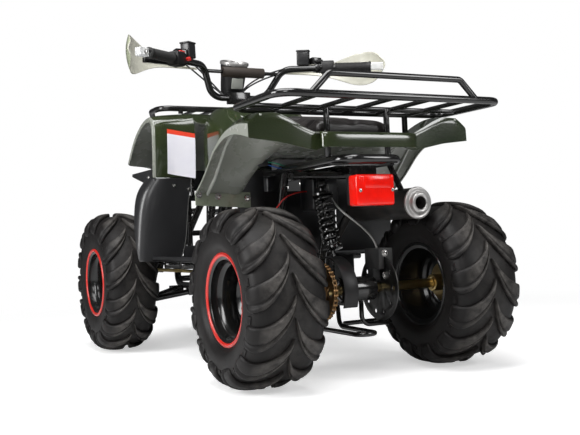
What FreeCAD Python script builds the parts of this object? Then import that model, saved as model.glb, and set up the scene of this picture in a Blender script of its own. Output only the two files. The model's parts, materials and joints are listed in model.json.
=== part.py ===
import FreeCAD, Part
import math
import os
from types import SimpleNamespace
import Sketcher
from FreeCAD import Vector, Rotation, Placement

# Quad bike with utility racks. Millimetres, +X to the vehicle's left, +Y to the rear, +Z up.
# The origin lies on the floor under the middle of the vehicle.

os.makedirs("parts", exist_ok=True)
doc = FreeCAD.newDocument("QuadBike")
sheet = doc.addObject("Spreadsheet::Sheet", "Sizes")

sizes = {
    # running gear; the front pieces are placed from the front axle, the rear ones from the rear axle
    "wheelbase": 1010, "rearAxleBehind": 530, "overrun": 2, "runningFit": 0.3, "freeGap": 6,
    "rearTyreDiameter": 457, "rearTyreWidth": 204, "rearTrack": 590, "rearLugs": 13,
    "frontTyreDiameter": 483, "frontTyreWidth": 170, "frontTrack": 720, "frontLugs": 14,
    "lugHeight": 11, "lugSink": 5, "beadDiameter": 208, "beadClearance": 1.4,
    "rimFlangeDiameter": 232, "rimFlangeWall": 4, "rimFlangeSlope": 5, "rimWall": 4,
    "rearRimWidth": 172, "frontRimWidth": 158, "rimBore": 44, "rimDishOffset": 7, "rimDishWall": 5,
    "axleDiameter": 26, "axleCarrierDiameter": 66, "axleCarrierHalfLength": 52,
    "hubFlangeDiameter": 112, "hubFlangeWall": 8, "hubSleeveDiameter": 46, "hubSleeveLength": 40,
    "wheelNutDiameter": 15, "wheelNutHeight": 12, "wheelNutCircle": 80,
    "discDiameter": 180, "discWall": 4, "discOffset": 80, "discHoleDiameter": 12, "discHoleCircle": 138,
    "discHoles": 10, "caliperWidth": 44, "caliperLength": 70, "caliperHeight": 56, "caliperLift": 50,
    "discClear": 2, "sprocketOffset": 104, "sprocketWall": 6, "chainPitch": 12.7, "sprocketTeeth": 36,
    "driveTeeth": 14, "toothRise": 3.5, "toothDepth": 4.5, "sprocketHoleDiameter": 26,
    "sprocketHoleCircle": 96, "sprocketHoles": 6, "boltFlangeDiameter": 66,
    "chainWidth": 14, "chainSlotWidth": 7, "linkHalfHeight": 6, "toothClear": 1,
    "driveSprocketAhead": 385, "driveSprocketLift": 18, "drivePlateDiameter": 50,
    "chainGuardWidth": 42, "chainGuardWall": 3, "chainGuardOffset": 66, "chainGuardGap": 8,
    "guardStart": 20, "guardEnd": 40,
    # steering
    "kingpinOffset": 275, "kingpinDiameter": 24, "uprightRise": 66,
    "spindleDiameter": 20, "frontHubDiameter": 58, "frontHubInner": 26, "drumDiameter": 132,
    "drumWidth": 30, "drumPlateWall": 4, "steerArmReach": 60, "steerArmWall": 10,
    "steerArmWidth": 22, "stemDiameter": 25, "stemTopBack": 315, "stemTopHeight": 852,
    "stemFootBack": 33, "stemFootHeight": 290, "pitmanReach": 60, "pitmanWall": 8, "pitmanWidth": 26,
    "tieBallSpread": 14, "tieRodDiameter": 12, "tieRodEndDiameter": 22, "tieRodEndWall": 12,
    "tieStudDiameter": 9, "tieRodDrop": 18,
    # frame
    "railDiameter": 25, "crossDiameter": 22, "lowerRailSpread": 78, "upperRailSpread": 92,
    "lowerRailHeight": 205, "upperRailHeight": 566, "noseAhead": 145, "kneeBack": 340,
    "frameHeadHeight": 620, "kickAhead": 280, "tailBack": 122, "railBend": 55,
    "armTubeDiameter": 20, "armPivotSpread": 116, "lowerArmHeight": 192, "upperArmHeight": 300,
    "armHalfBase": 90, "ballJointDiameter": 26, "shockTopSpread": 152, "shockTopHeight": 505,
    "shockFootShare": 0.72, "shockCoilDiameter": 52, "shockWire": 8, "shockTurns": 7,
    "shockRodDiameter": 14, "shockEyeDiameter": 26, "shockEyeWidth": 24,
    "swingPivotAhead": 298, "swingPivotHeight": 262, "swingTubeDiameter": 34, "swingSpread": 34,
    "rearShockFootAhead": 100, "rearShockFootHeight": 300, "footBridgeDrop": 40, "rearShockTopAhead": 158,
    "rearShockTopHeight": 520, "rearShockCoilDiameter": 58,
    "stemSeatRise": 30, "rearUprightBack": 135, "collarLength": 34, "collarDiameter": 40,
    "guardLoopDiameter": 13, "guardLoopHeight": 118, "guardLoopTop": 240, "guardLoopAhead": 130,
    "guardLoopBehind": 90, "guardLoopBend": 26, "discGuardReach": 136, "discGuardHeight": 128,
    "discGuardRoot": 26,
    # racks
    "rackTubeDiameter": 19, "slatDiameter": 12, "rearRackHeight": 706, "rearRackBack": 238,
    "rearRackAhead": 25, "rearRackHalfWidth": 328, "rearRackCorner": 45, "hoopFootSpread": 243,
    "hoopTopSpread": 192, "hoopRise": 50, "hoopDiameter": 16, "rearPostSpread": 93,
    "rearPostBack": 48, "sidePostSpread": 205, "rackSlats": 5,
    "frontRackHeight": 820, "frontRackBack": 258, "frontRackAhead": 25, "frontRackBackHalf": 262,
    "frontRackFrontHalf": 190, "frontRackSide": 90, "frontRackCorner": 60, "frontPostLength": 160,
    "bumperDiameter": 25, "bumperSpread": 118, "bumperAhead": 287, "bumperTop": 590,
    "bumperLow": 300, "bumperLean": 20, "bumperTuck": 60, "bumperBelly": 100,
    "stayHeight": 480, "hoodPostSpread": 60,
    # bodywork
    "panelWall": 4, "fenderLip": 334, "archAhead": 280, "archLength": 368, "archFoot": 475, "archRise": 210,
    "flangeFoot": 458, "flangeInner": 165, "lipDepth": 10, "ribSpread": 298, "ribWidth": 8, "ribDepth": 7,
    "deckFrontAhead": 430, "deckFrontHeight": 598, "tailTongue": 38, "tailBandHeight": 42, "tongueHalf": 145,
    "frontLip": 305, "frontFenderInner": 165, "frontArchFront": 80, "frontArchLength": 390,
    "frontArchFoot": 586, "frontArchRise": 220, "noseFront": 188, "noseLength": 118, "noseHalf": 150,
    "noseFloor": 560, "noseHeight": 88, "grilleSlots": 4, "grilleSlotHeight": 9, "grilleDepth": 14,
    "seatHalfWidth": 128, "seatFrontAhead": 470, "seatBackBehind": 45, "seatGap": 0.4, "seatTop": 719,
    "cowlBack": 330, "cowlOverSeat": 74, "cowlHalf": 152, "cowlTop": 806,
    "stepHeight": 318, "stepWall": 6, "stepInner": 142, "stepRib": 10,
    "stepOuter": 322, "stepFrontBack": 290, "stepBackAhead": 268, "mudguardTop": 583, "mudguardInner": 202,
    "mudguardOuter": 366, "mudguardWrap": 62, "flapFront": 40, "flapBack": 262, "flapSpread": 300,
    "flapFloor": 556, "flapTop": 616, "padInset": 20, "padLength": 280, "padWidth": 46, "padRise": 6,
    "padGroove": 4, "padGrooves": 5,
    # engine
    "engineWidth": 150, "engineLength": 270, "engineHeight": 150, "engineAhead": 490,
    "engineFloor": 232, "engineFoot": 30, "coverDiameter": 150, "coverDepth": 26, "coverStep": 10,
    "cylinderRise": 20, "cylinderDiameter": 92,
    "cylinderReach": 150, "finSize": 118, "finCorner": 22, "finWall": 4, "fins": 7, "headLength": 46,
    "pipeDiameter": 26, "pipeBend": 50, "pipeSpread": 122, "pipeHeight": 244, "pipeTurn": 30, "portSpread": 30,
    "pipeRiseAhead": 330, "pipeRiseHeight": 330, "carbLength": 66, "carbDiameter": 48,
    "mufflerDiameter": 84, "mufflerLength": 330, "mufflerOffset": 150, "mufflerCone": 40,
    "mufflerHeight": 451, "mufflerBack": 92, "mufflerCapStep": 6, "tipDiameter": 34, "tipRingDiameter": 50,
    "tipReach": 14, "tipDepth": 44,
    "lampWidth": 116, "lampHeight": 80, "lampDepth": 58, "lampFloor": 447, "lampBack": 126,
    "lampTaper": 4, "lampGroove": 3, "headlampDiameter": 92, "headlampBack": 76, "headlampDepth": 40,
    "headlampSpread": 177, "headlampHeight": 600, "headlampAhead": 40,
    # handlebar
    "barDiameter": 22, "barFootSpread": 78, "barFootRun": 20, "barRiseSpread": 146, "barTopHeight": 948,
    "barRiseBehind": 55, "barEndSpread": 389, "barEndBehind": 230, "barEndHeight": 937, "barBend": 60,
    "barBraceDrop": 16, "barBraceAhead": 10, "barBraceInset": 8,
    "gripDiameter": 33, "gripLength": 118, "gripCap": 4, "padDiameter": 34, "padSpan": 150,
    "switchGap": 4, "switchLength": 42, "switchSize": 44, "perchGap": 12, "leverReach": 34,
    "leverSweep": 62, "leverDrop": 8, "leverWidth": 14, "leverWall": 8, "leverEnd": 10,
    "tankLength": 34, "tankWidth": 28, "tankHeight": 22,
    "gaugeDiameter": 84, "gaugeRim": 6, "gaugeDepth": 46, "gaugeFoot": 30, "gaugeAhead": 46, "gaugeHeight": 892,
    "gaugeTilt": 19, "handguardReach": 432, "handguardFloor": 892, "handguardHeight": 102,
    "handguardAhead": 165, "handguardDepth": 231, "handguardInner": 150,
}

for row, (alias, value) in enumerate(sizes.items(), start=1):
    sheet.set("A%d" % row, alias)
    sheet.set("B%d" % row, str(value))
    sheet.setAlias("B%d" % row, alias)
doc.recompute()
s = SimpleNamespace(**{alias: float(sheet.get(alias)) for alias in sizes})

rearAxle = Vector(0, s.rearAxleBehind, s.rearTyreDiameter / 2)
frontAxle = Vector(0, s.rearAxleBehind - s.wheelbase, s.frontTyreDiameter / 2)
rearPlace = rearAxle.y
frontPlace = frontAxle.y

nodes = []


def keep(item, label):
    item.Label = label
    nodes.append(item)
    return item


def feature(label, shape, place=None):
    item = doc.addObject("Part::Feature", label)
    item.Shape = shape
    if place:
        item.Placement = Placement(place, Rotation())
    return keep(item, label)


def fuse(shapes):
    # joined on copies, because a join can loosen the edges of the shapes that go in
    first, *others = [shape.copy() for shape in shapes]
    whole = first.multiFuse(others)
    merged = whole.copy().removeSplitter()
    if merged.isValid() and math.isclose(merged.Volume, whole.Volume, rel_tol=1e-5):
        return merged
    return whole


def largest(shape):
    return max(shape.Solids, key=lambda solid: solid.Volume)


def mirrored(shape):
    return shape.mirror(Vector(), Vector(1, 0, 0))


def pair(shape):
    return Part.makeCompound([shape, mirrored(shape)])


def rod(start, end, diameter):
    along = end - start
    return Part.makeCylinder(diameter / 2, along.Length, start, along)


def bar(start, end, width, height, side=Vector(1, 0, 0)):
    # straight bar of rectangular section, width measured along the side direction
    along = (end - start).normalize()
    across = (side - along * side.dot(along)).normalize()
    lift = along.cross(across)
    corners = [across * (width / 2 * a) + lift * (height / 2 * b)
               for a, b in ((-1, -1), (1, -1), (1, 1), (-1, 1), (-1, -1))]
    face = Part.Face(Part.makePolygon([start + c for c in corners]))
    return face.extrude(end - start)


def tubePath(points, bend):
    # straight runs joined by arcs that touch both
    edges = []
    start = points[0]
    for before, corner, after in zip(points, points[1:], points[2:]):
        back = (before - corner).normalize()
        on = (after - corner).normalize()
        half = back.getAngle(on) / 2
        reach = min(bend / math.tan(half), 0.45 * (before - corner).Length, 0.45 * (after - corner).Length)
        radius = reach * math.tan(half)
        first = corner + back * reach
        last = corner + on * reach
        centre = corner + (back + on).normalize() * (radius / math.sin(half))
        middle = centre + (corner - centre).normalize() * radius
        edges.append(Part.LineSegment(start, first).toShape())
        edges.append(Part.Arc(first, middle, last).toShape())
        start = last
    edges.append(Part.LineSegment(start, points[-1]).toShape())
    return Part.Wire(edges)


def tube(points, diameter, bend):
    path = tubePath(points, bend)
    start = (points[1] - points[0]).normalize()
    ring = Part.Wire(Part.makeCircle(diameter / 2, points[0], start))
    return path.makePipeShell([ring], True, False)


def hoop(corners, diameter, bend):
    # closed tube: the path starts half way between the last corner and the first
    middle = (corners[-1] + corners[0]) / 2
    path = tubePath([middle] + corners + [middle], bend)
    ring = Part.Wire(Part.makeCircle(diameter / 2, middle, (corners[0] - corners[-1]).normalize()))
    return path.makePipeShell([ring], True, False)


def placed(axis, place, outline):
    # outline of two coordinates in the plane across X, Y or Z
    if axis == "X":
        return [Vector(place, a, b) for a, b in outline]
    if axis == "Y":
        return [Vector(a, place, b) for a, b in outline]
    return [Vector(a, b, place) for a, b in outline]


def prism(outline, axis, start, end):
    points = placed(axis, start, outline)
    sweep = placed(axis, end - start, [(0, 0)])[0]
    return Part.Face(Part.makePolygon(points + points[:1])).extrude(sweep)


def scaled(shares, place, size):
    # table of shares turned into lengths from a place
    return [(place[0] + a * size[0], place[1] + b * size[1]) for a, b in shares]


def inset(outline, wall):
    # open line of two coordinates moved sideways by the wall, mitred at its corners
    sides = []
    for (a, b), (c, d) in zip(outline, outline[1:]):
        run = math.hypot(c - a, d - b)
        sides.append(((d - b) / run, -(c - a) / run))
    moved = []
    for i, (a, b) in enumerate(outline):
        (na, nb), (ma, mb) = sides[max(i - 1, 0)], sides[min(i, len(sides) - 1)]
        spread = max(1 + na * ma + nb * mb, 0.5)
        moved.append((a + (na + ma) / spread * wall, b + (nb + mb) / spread * wall))
    return moved


def shell(stations, axis, wall):
    # sheet of even wall through open outlines, each at its own station along the axis
    return loft([(place, outline + inset(outline, wall)[::-1]) for place, outline in stations], axis)


def loft(stations, axis):
    wires = []
    for place, outline in stations:
        points = placed(axis, place, outline)
        wires.append(Part.makePolygon(points + points[:1]))
    return Part.makeLoft(wires, True, True)


def facetedSolid(faces):
    solid = Part.Solid(Part.Shell(faces))
    if solid.Volume < 0:
        solid.reverse()
    return solid


def facet(*corners):
    return Part.Face(Part.makePolygon(list(corners) + [corners[0]]))

def facetedRing(outline, sides):
    # closed outline of radius and axial place, turned about X with flat facets
    turn = 2 * math.pi / sides
    faces = []
    for k in range(sides):
        low, high = (k - 0.5) * turn, (k + 0.5) * turn
        for (ra, xa), (rb, xb) in zip(outline, outline[1:] + outline[:1]):
            faces.append(facet(Vector(xa, ra * math.sin(low), -ra * math.cos(low)),
                               Vector(xb, rb * math.sin(low), -rb * math.cos(low)),
                               Vector(xb, rb * math.sin(high), -rb * math.cos(high)),
                               Vector(xa, ra * math.sin(high), -ra * math.cos(high))))
    return facetedSolid(faces)


def facetedBar(rings):
    # bar through rings of four corners, its twisted sides split into flat triangles
    faces = [facet(*rings[0][::-1]), facet(*rings[-1])]
    for first, last in zip(rings, rings[1:]):
        for i in range(len(first)):
            j = (i + 1) % len(first)
            faces += [facet(first[i], first[j], last[j]), facet(first[i], last[j], last[i])]
    return facetedSolid(faces)

def turned(label, outline, place, direction=Rotation()):
    # revolved body: the outline gives distance along the axis and radius as formulas of the sheet
    body = doc.addObject("PartDesign::Body", label + "_body")
    plane = [f for f in body.Origin.OriginFeatures if f.Role == "XY_Plane"][0]
    line = [f for f in body.Origin.OriginFeatures if f.Role == "X_Axis"][0]
    sketch = body.newObject("Sketcher::SketchObject", label + "_outline")
    sketch.AttachmentSupport = [(plane, "")]
    sketch.MapMode = "FlatFace"
    corners = [Vector(*(float(sheet.evalExpression(text)) for text in pair), 0) for pair in outline]
    for first, last in zip(corners, corners[1:] + corners[:1]):
        sketch.addGeometry(Part.LineSegment(first, last), False)
    count = len(corners)
    for i in range(count):
        sketch.addConstraint(Sketcher.Constraint("Coincident", i, 2, (i + 1) % count, 1))
    for i, (corner, texts) in enumerate(zip(corners, outline)):
        for kind, value, text, axis in (("DistanceX", corner.x, texts[0], -2),
                                        ("DistanceY", corner.y, texts[1], -1)):
            if abs(value) < 1e-9:
                sketch.addConstraint(Sketcher.Constraint("PointOnObject", i, 1, axis))
            else:
                index = sketch.addConstraint(Sketcher.Constraint(kind, -1, 1, i, 1, value))
                sketch.setExpression("Constraints[%d]" % index, text)
    turn = body.newObject("PartDesign::Revolution", label + "_turn")
    turn.Profile = sketch
    turn.ReferenceAxis = (line, [""])
    turn.Angle = 360
    body.Placement = Placement(place, direction)
    return keep(body, label)


# tyres: faceted carcass with two rows of curved lugs that meet in chevrons and run over the shoulders
carcassShares = [(0.36, 0.985), (0.78, 0.93), (1.0, 0.46)]
# place across the half width, turn in lug pitches, rise over the carcass, half width in lug pitches
lugShares = [(0.03, 0.0, 1.0, 0.09), (0.46, -0.24, 1.0, 0.18), (0.985, -0.52, -0.62, 0.26)]
lugTopShare = 0.82


def tyre(label, diameter, width, rimWidth, lugs, offset, axle):
    crown = diameter / 2 - s.lugHeight
    bead = s.beadDiameter / 2
    half = width / 2
    flangeEdge = rimWidth / 2 - s.rimFlangeWall - s.beadClearance
    outline = [(bead, flangeEdge - s.rimFlangeSlope), (s.rimFlangeDiameter / 2 + s.beadClearance, flangeEdge)]
    outline += [(bead + (crown - bead) * r, half * a) for r, a in carcassShares]
    count = int(lugs)
    carcass = facetedRing(outline + [(r, -a) for r, a in outline[::-1]], 2 * count)
    pitch = 2 * math.pi / count
    reach = crown * pitch
    bars = []
    for row in (1, -1):
        for k in range(count):
            rings = []
            for across, swing, rise, breadth in lugShares:
                angle = (k + (0.5 if row < 0 else 0) + swing) * pitch
                top = crown + rise * (s.lugHeight if rise > 0 else crown - bead) * (1 if rise > 0 else 0.36)
                deep = top - s.lugHeight - s.lugSink
                outward = Vector(0, math.sin(angle), -math.cos(angle))
                along = Vector(0, math.cos(angle), math.sin(angle)) * (breadth * reach)
                foot = Vector(row * half * across, 0, 0)
                rings.append([foot + outward * deep - along, foot + outward * deep + along,
                              foot + outward * top + along * lugTopShare, foot + outward * top - along * lugTopShare])
            bars.append(facetedBar(rings))
    return feature(label, carcass.fuse(bars), axle + Vector(offset, 0, 0))


def rim(label, width, offset, axle, sign):
    # turned about the wheel's axis: two flanges, the bead seats, the well and the dish with its bore
    edge = "Sizes.%s / 2" % width
    flange = "Sizes.rimFlangeDiameter / 2"
    seat = "Sizes.beadDiameter / 2 - Sizes.beadClearance"
    inner = seat + " - Sizes.rimWall"
    bore = "Sizes.rimBore / 2"
    outline = [(edge, flange), (edge + " - Sizes.rimFlangeWall", flange),
               (edge + " - Sizes.rimFlangeWall - Sizes.rimFlangeSlope", seat),
               ("-(%s) + Sizes.rimFlangeWall + Sizes.rimFlangeSlope" % edge, seat),
               ("-(%s) + Sizes.rimFlangeWall" % edge, flange), ("-(%s)" % edge, flange),
               ("-(%s) + Sizes.rimFlangeSlope" % edge, inner), ("Sizes.rimDishOffset", inner),
               ("Sizes.rimDishOffset", bore), ("Sizes.rimDishOffset + Sizes.rimDishWall", bore),
               ("Sizes.rimDishOffset + Sizes.rimDishWall", inner), (edge + " - Sizes.rimFlangeSlope", inner)]
    facing = Rotation() if sign > 0 else Rotation(Vector(0, 0, 1), 180)
    return turned(label, outline, axle + Vector(offset, 0, 0), facing)


for name, sign in (("left", 1), ("right", -1)):
    rearOffset = sign * s.rearTrack / 2
    frontOffset = sign * s.frontTrack / 2
    tyre("rear_tyre_" + name, s.rearTyreDiameter, s.rearTyreWidth, s.rearRimWidth, s.rearLugs, rearOffset, rearAxle)
    tyre("front_tyre_" + name, s.frontTyreDiameter, s.frontTyreWidth, s.frontRimWidth, s.frontLugs, frontOffset,
         frontAxle)
    rim("rear_rim_" + name, "rearRimWidth", rearOffset, rearAxle, sign)
    rim("front_rim_" + name, "frontRimWidth", frontOffset, frontAxle, sign)

# rear axle with its hubs, brake disc and sprocket
dishInner = s.rearTrack / 2 + s.rimDishOffset
axleHalf = dishInner + s.rimDishWall + s.wheelNutHeight
turned("axle_shaft",
       [("-(Sizes.rearTrack / 2 + Sizes.rimDishOffset + Sizes.rimDishWall + Sizes.wheelNutHeight)", "0"),
        ("Sizes.rearTrack / 2 + Sizes.rimDishOffset + Sizes.rimDishWall + Sizes.wheelNutHeight", "0"),
        ("Sizes.rearTrack / 2 + Sizes.rimDishOffset + Sizes.rimDishWall + Sizes.wheelNutHeight",
         "Sizes.axleDiameter / 2"),
        ("-(Sizes.rearTrack / 2 + Sizes.rimDishOffset + Sizes.rimDishWall + Sizes.wheelNutHeight)",
         "Sizes.axleDiameter / 2")], rearAxle)


def ringPlate(outer, inner, start, end, axle):
    plate = Part.makeCylinder(outer / 2, end - start, axle + Vector(start, 0, 0), Vector(1, 0, 0))
    if not inner:
        return plate
    hole = Part.makeCylinder(inner / 2, end - start, axle + Vector(start, 0, 0), Vector(1, 0, 0))
    return plate.cut(hole)


def around(axle, circle, count, turn=0.0):
    for k in range(count):
        angle = 2 * math.pi * (k + turn) / count
        yield axle + Vector(0, math.cos(angle), math.sin(angle)) * (circle / 2)


def wheelHub(inner, dish, bore, axle):
    flangeFace = dish - s.hubFlangeWall
    hub = fuse([ringPlate(s.hubSleeveDiameter, bore, inner, dish, axle),
                ringPlate(s.hubFlangeDiameter, bore, flangeFace, dish, axle)])
    nuts = [Part.makeCylinder(s.wheelNutDiameter / 2, s.wheelNutHeight,
                              p + Vector(dish + s.rimDishWall, 0, 0), Vector(1, 0, 0))
            for p in around(axle, s.wheelNutCircle, 4, 0.5)]
    cap = ringPlate(s.rimBore - 4 * s.runningFit, bore, dish, dish + s.rimDishWall + s.wheelNutHeight, axle)
    return [fuse([hub, cap])] + nuts


def hubPair(label, inner, dish, bore, axle):
    shapes = wheelHub(inner, dish, bore, axle)
    return feature(label, Part.makeCompound(shapes + [mirrored(shape) for shape in shapes]))


hubPair("rear_hubs", dishInner - s.hubFlangeWall - s.hubSleeveLength, dishInner, s.axleDiameter, rearAxle)

disc = ringPlate(s.discDiameter, s.axleDiameter, -s.discOffset, -s.discOffset + s.discWall, rearAxle)
for p in around(rearAxle, s.discHoleCircle, int(s.discHoles)):
    disc = disc.cut(Part.makeCylinder(s.discHoleDiameter / 2, s.discWall, p - Vector(s.discOffset, 0, 0),
                                      Vector(1, 0, 0)))
disc = disc.fuse(ringPlate(s.boltFlangeDiameter, s.axleDiameter, -s.discOffset - s.hubFlangeWall, -s.discOffset,
                           rearAxle))
feature("brake_disc", disc)

# toothed sprocket on the pitch circle of its chain
pitchRadius = s.chainPitch / 2 / math.sin(math.pi / s.sprocketTeeth)
drivePitchRadius = s.chainPitch / 2 / math.sin(math.pi / s.driveTeeth)
drive = rearAxle + Vector(0, -s.driveSprocketAhead, s.driveSprocketLift)
chainLine = rearAxle - drive
chainLean = math.atan2(chainLine.z, chainLine.y)
chainSpread = math.acos((drivePitchRadius - pitchRadius) / chainLine.Length)
toothShares = [(-0.5, 0), (-0.2, 0), (-0.1, 1), (0.1, 1), (0.2, 0)]
teeth = []
for k in range(int(s.sprocketTeeth)):
    for turn, rise in toothShares:
        angle = chainLean - chainSpread + (k + 0.5 + turn) * 2 * math.pi / s.sprocketTeeth
        radius = pitchRadius - s.toothDepth + rise * (s.toothDepth + s.toothRise)
        teeth.append((rearAxle.y + radius * math.cos(angle), rearAxle.z + radius * math.sin(angle)))
sprocketSpan = (s.sprocketOffset - s.sprocketWall / 2, s.sprocketOffset + s.sprocketWall / 2)
sprocket = prism(teeth, "X", *sprocketSpan)
for p in around(rearAxle, s.sprocketHoleCircle, int(s.sprocketHoles)):
    sprocket = sprocket.cut(Part.makeCylinder(s.sprocketHoleDiameter / 2, s.sprocketWall,
                                              p + Vector(sprocketSpan[0], 0, 0), Vector(1, 0, 0)))
sprocket = sprocket.fuse(ringPlate(s.boltFlangeDiameter, 0, sprocketSpan[1], sprocketSpan[1] + s.hubFlangeWall,
                                   rearAxle))
feature("sprocket", sprocket.cut(Part.makeCylinder(s.axleDiameter / 2, s.sprocketWall + s.hubFlangeWall,
                                                   rearAxle + Vector(sprocketSpan[0], 0, 0), Vector(1, 0, 0))))


# chain: closed loop of straight links round both sprockets, slotted where the teeth enter
def chainLoop(rise, start, end):
    points = []
    for centre, pitchCircle, count, first, last in (
            (rearAxle, pitchRadius, s.sprocketTeeth, chainLean - chainSpread, chainLean + chainSpread),
            (drive, drivePitchRadius, s.driveTeeth, chainLean + chainSpread, chainLean + 2 * math.pi - chainSpread)):
        steps = math.floor((last - first) / (2 * math.pi / count))
        radius = (pitchCircle + rise) / math.cos((last - first) / steps / 2)
        for k in range(steps + 1):
            angle = first + (last - first) * k / steps
            points.append((centre.y + radius * math.cos(angle), centre.z + radius * math.sin(angle)))
    return prism(points, "X", start, end)


chainStart = s.sprocketOffset - s.chainWidth / 2
chainEnd = s.sprocketOffset + s.chainWidth / 2
slotStart = s.sprocketOffset - s.chainSlotWidth / 2
slotEnd = s.sprocketOffset + s.chainSlotWidth / 2
feature("chain", chainLoop(s.linkHalfHeight + s.toothClear, chainStart, chainEnd).cut(
    chainLoop(-s.linkHalfHeight, chainStart - s.overrun, chainEnd + s.overrun)).cut(
    chainLoop(s.toothRise + s.toothClear, slotStart, slotEnd)))

# swinging arm with the axle carrier and the bent guard loops below it
swingPivot = Vector(0, rearPlace - s.swingPivotAhead, s.swingPivotHeight)
carrier = ringPlate(s.axleCarrierDiameter, s.axleDiameter + 2 * s.runningFit,
                    -s.axleCarrierHalfLength, s.axleCarrierHalfLength, rearAxle)
arm = rod(swingPivot + Vector(s.swingSpread, 0, 0), rearAxle + Vector(s.swingSpread, 0, 0), s.swingTubeDiameter)
pivotTube = Part.makeCylinder(s.swingTubeDiameter / 2, 2 * s.swingSpread + s.swingTubeDiameter,
                              swingPivot - Vector(s.swingSpread + s.swingTubeDiameter / 2, 0, 0), Vector(1, 0, 0))
footBridge = Vector(0, rearPlace - s.rearShockFootAhead, s.rearShockFootHeight)
bridge = bar(footBridge + Vector(-s.swingSpread, 0, -s.footBridgeDrop),
             footBridge + Vector(s.swingSpread, 0, -s.footBridgeDrop), s.shockEyeDiameter, s.shockEyeDiameter,
             Vector(0, 1, 0))
earPlace = s.shockEyeWidth / 2 + s.panelWall / 2 + s.runningFit
ears = [bar(footBridge + Vector(k * earPlace, 0, -s.footBridgeDrop),
            footBridge + Vector(k * earPlace, 0, s.shockEyeDiameter / 2), s.panelWall, s.shockEyeDiameter)
        for k in (1, -1)]
boreSpace = Part.makeCylinder(s.axleDiameter / 2 + s.runningFit, 2 * s.axleCarrierHalfLength,
                              rearAxle - Vector(s.axleCarrierHalfLength, 0, 0), Vector(1, 0, 0))
loopSide = s.swingSpread + s.guardLoopDiameter
loopPoints = [Vector(-s.swingSpread / 2, rearPlace - s.guardLoopAhead, s.guardLoopTop),
              Vector(-s.swingSpread / 2, rearPlace - s.guardLoopAhead + s.guardLoopDiameter, s.guardLoopHeight),
              Vector(-s.swingSpread / 4, rearPlace + s.guardLoopBehind, s.guardLoopHeight),
              Vector(loopSide, rearPlace + s.guardLoopBehind, s.guardLoopHeight),
              Vector(loopSide, rearPlace - s.guardLoopAhead + s.guardLoopDiameter, s.guardLoopHeight),
              Vector(s.swingSpread, rearPlace - s.guardLoopAhead, s.guardLoopTop)]
guardLoop = tube(loopPoints, s.guardLoopDiameter, s.guardLoopBend)
discGuardPoints = [Vector(-s.swingSpread, rearPlace - s.discGuardRoot, rearAxle.z - s.axleCarrierDiameter / 2),
                   Vector(-s.swingSpread, rearPlace - s.discGuardRoot, s.discGuardHeight),
                   Vector(-s.discGuardReach, rearPlace - s.discGuardRoot, s.discGuardHeight),
                   Vector(-s.discGuardReach, rearPlace - s.discGuardRoot - s.axleCarrierDiameter, s.discGuardHeight),
                   Vector(-s.swingSpread / 2, rearPlace - s.discGuardRoot - s.axleCarrierDiameter, s.discGuardHeight)]
discGuard = tube(discGuardPoints, s.guardLoopDiameter, s.guardLoopBend)

swing = fuse([carrier, arm, mirrored(arm), pivotTube, bridge] + ears + [guardLoop, discGuard]).cut(boreSpace)
feature("swingarm", swing)
caliper = Part.makeBox(s.caliperWidth, s.caliperLength, s.caliperHeight,
                       rearAxle + Vector(-s.discOffset - s.caliperWidth / 2, -s.caliperLength / 2, s.caliperLift))
slot = Part.makeBox(s.discWall + 2 * s.discClear, s.caliperLength, s.discDiameter / 2 + s.discClear,
                    rearAxle + Vector(-s.discOffset - s.discClear, -s.caliperLength / 2, 0))
footStart = s.axleDiameter / 2 + s.freeGap
caliperFoot = Part.makeBox(s.caliperWidth / 2, s.caliperHeight / 2, s.caliperLift - footStart + s.overrun,
                           rearAxle + Vector(-s.discOffset + s.discWall + s.discClear, -s.caliperHeight / 4,
                                             footStart))
feature("brake_caliper", fuse([caliper, caliperFoot]).cut(slot).cut(swing).cut(boreSpace))

guardInner = pitchRadius + s.linkHalfHeight + s.toothClear + s.chainGuardGap
guardOuter = guardInner + s.chainGuardWall
guardBegin = s.chainGuardOffset - s.chainGuardWidth / 2
guardRing = ringPlate(2 * guardOuter, 2 * guardInner, guardBegin, guardBegin + s.chainGuardWidth, rearAxle)
guardWeb = ringPlate(2 * guardOuter, s.axleCarrierDiameter, guardBegin, guardBegin + s.chainGuardWall, rearAxle)
openFront = Part.makeBox(s.wheelbase, s.wheelbase, s.wheelbase,
                         rearAxle + Vector(0, -s.wheelbase - s.guardStart, -s.wheelbase / 2))
openBelow = Part.makeBox(s.wheelbase, s.wheelbase, s.wheelbase,
                         rearAxle + Vector(0, -s.wheelbase / 2, -s.wheelbase - s.guardEnd))
guardRing = fuse([guardRing, guardWeb]).cut(openFront).cut(openBelow).cut(swing)
feature("chain_guard", guardRing)

# front wheels: hub and drum turn with the wheel, the upright turns with the steering
kingpin = frontAxle + Vector(s.kingpinOffset, 0, 0)
frontDish = s.frontTrack / 2 + s.rimDishOffset
hubStart = s.kingpinOffset + s.frontHubInner
drumStart = hubStart
hubCore = ringPlate(s.frontHubDiameter, s.spindleDiameter + 2 * s.runningFit, hubStart, frontDish, frontAxle)
hubFlange = ringPlate(s.hubFlangeDiameter, s.spindleDiameter + 2 * s.runningFit, frontDish - s.hubFlangeWall,
                      frontDish, frontAxle)
drum = ringPlate(s.drumDiameter, s.spindleDiameter + 2 * s.runningFit, drumStart, drumStart + s.drumWidth, frontAxle)
capEnd = frontDish + s.rimDishWall + 2 * s.wheelNutHeight
hubCap = ringPlate(s.rimBore - 4 * s.runningFit, s.spindleDiameter + 2 * s.runningFit, frontDish,
                   frontDish + s.rimDishWall + s.wheelNutHeight, frontAxle)
capStart = frontDish + s.rimDishWall + s.wheelNutHeight
capLid = Part.makeCylinder(s.rimBore / 2 - 2 * s.runningFit, s.wheelNutHeight, frontAxle + Vector(capStart, 0, 0),
                           Vector(1, 0, 0))
frontHub = fuse([hubCore, hubFlange, drum, hubCap, capLid])
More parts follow.
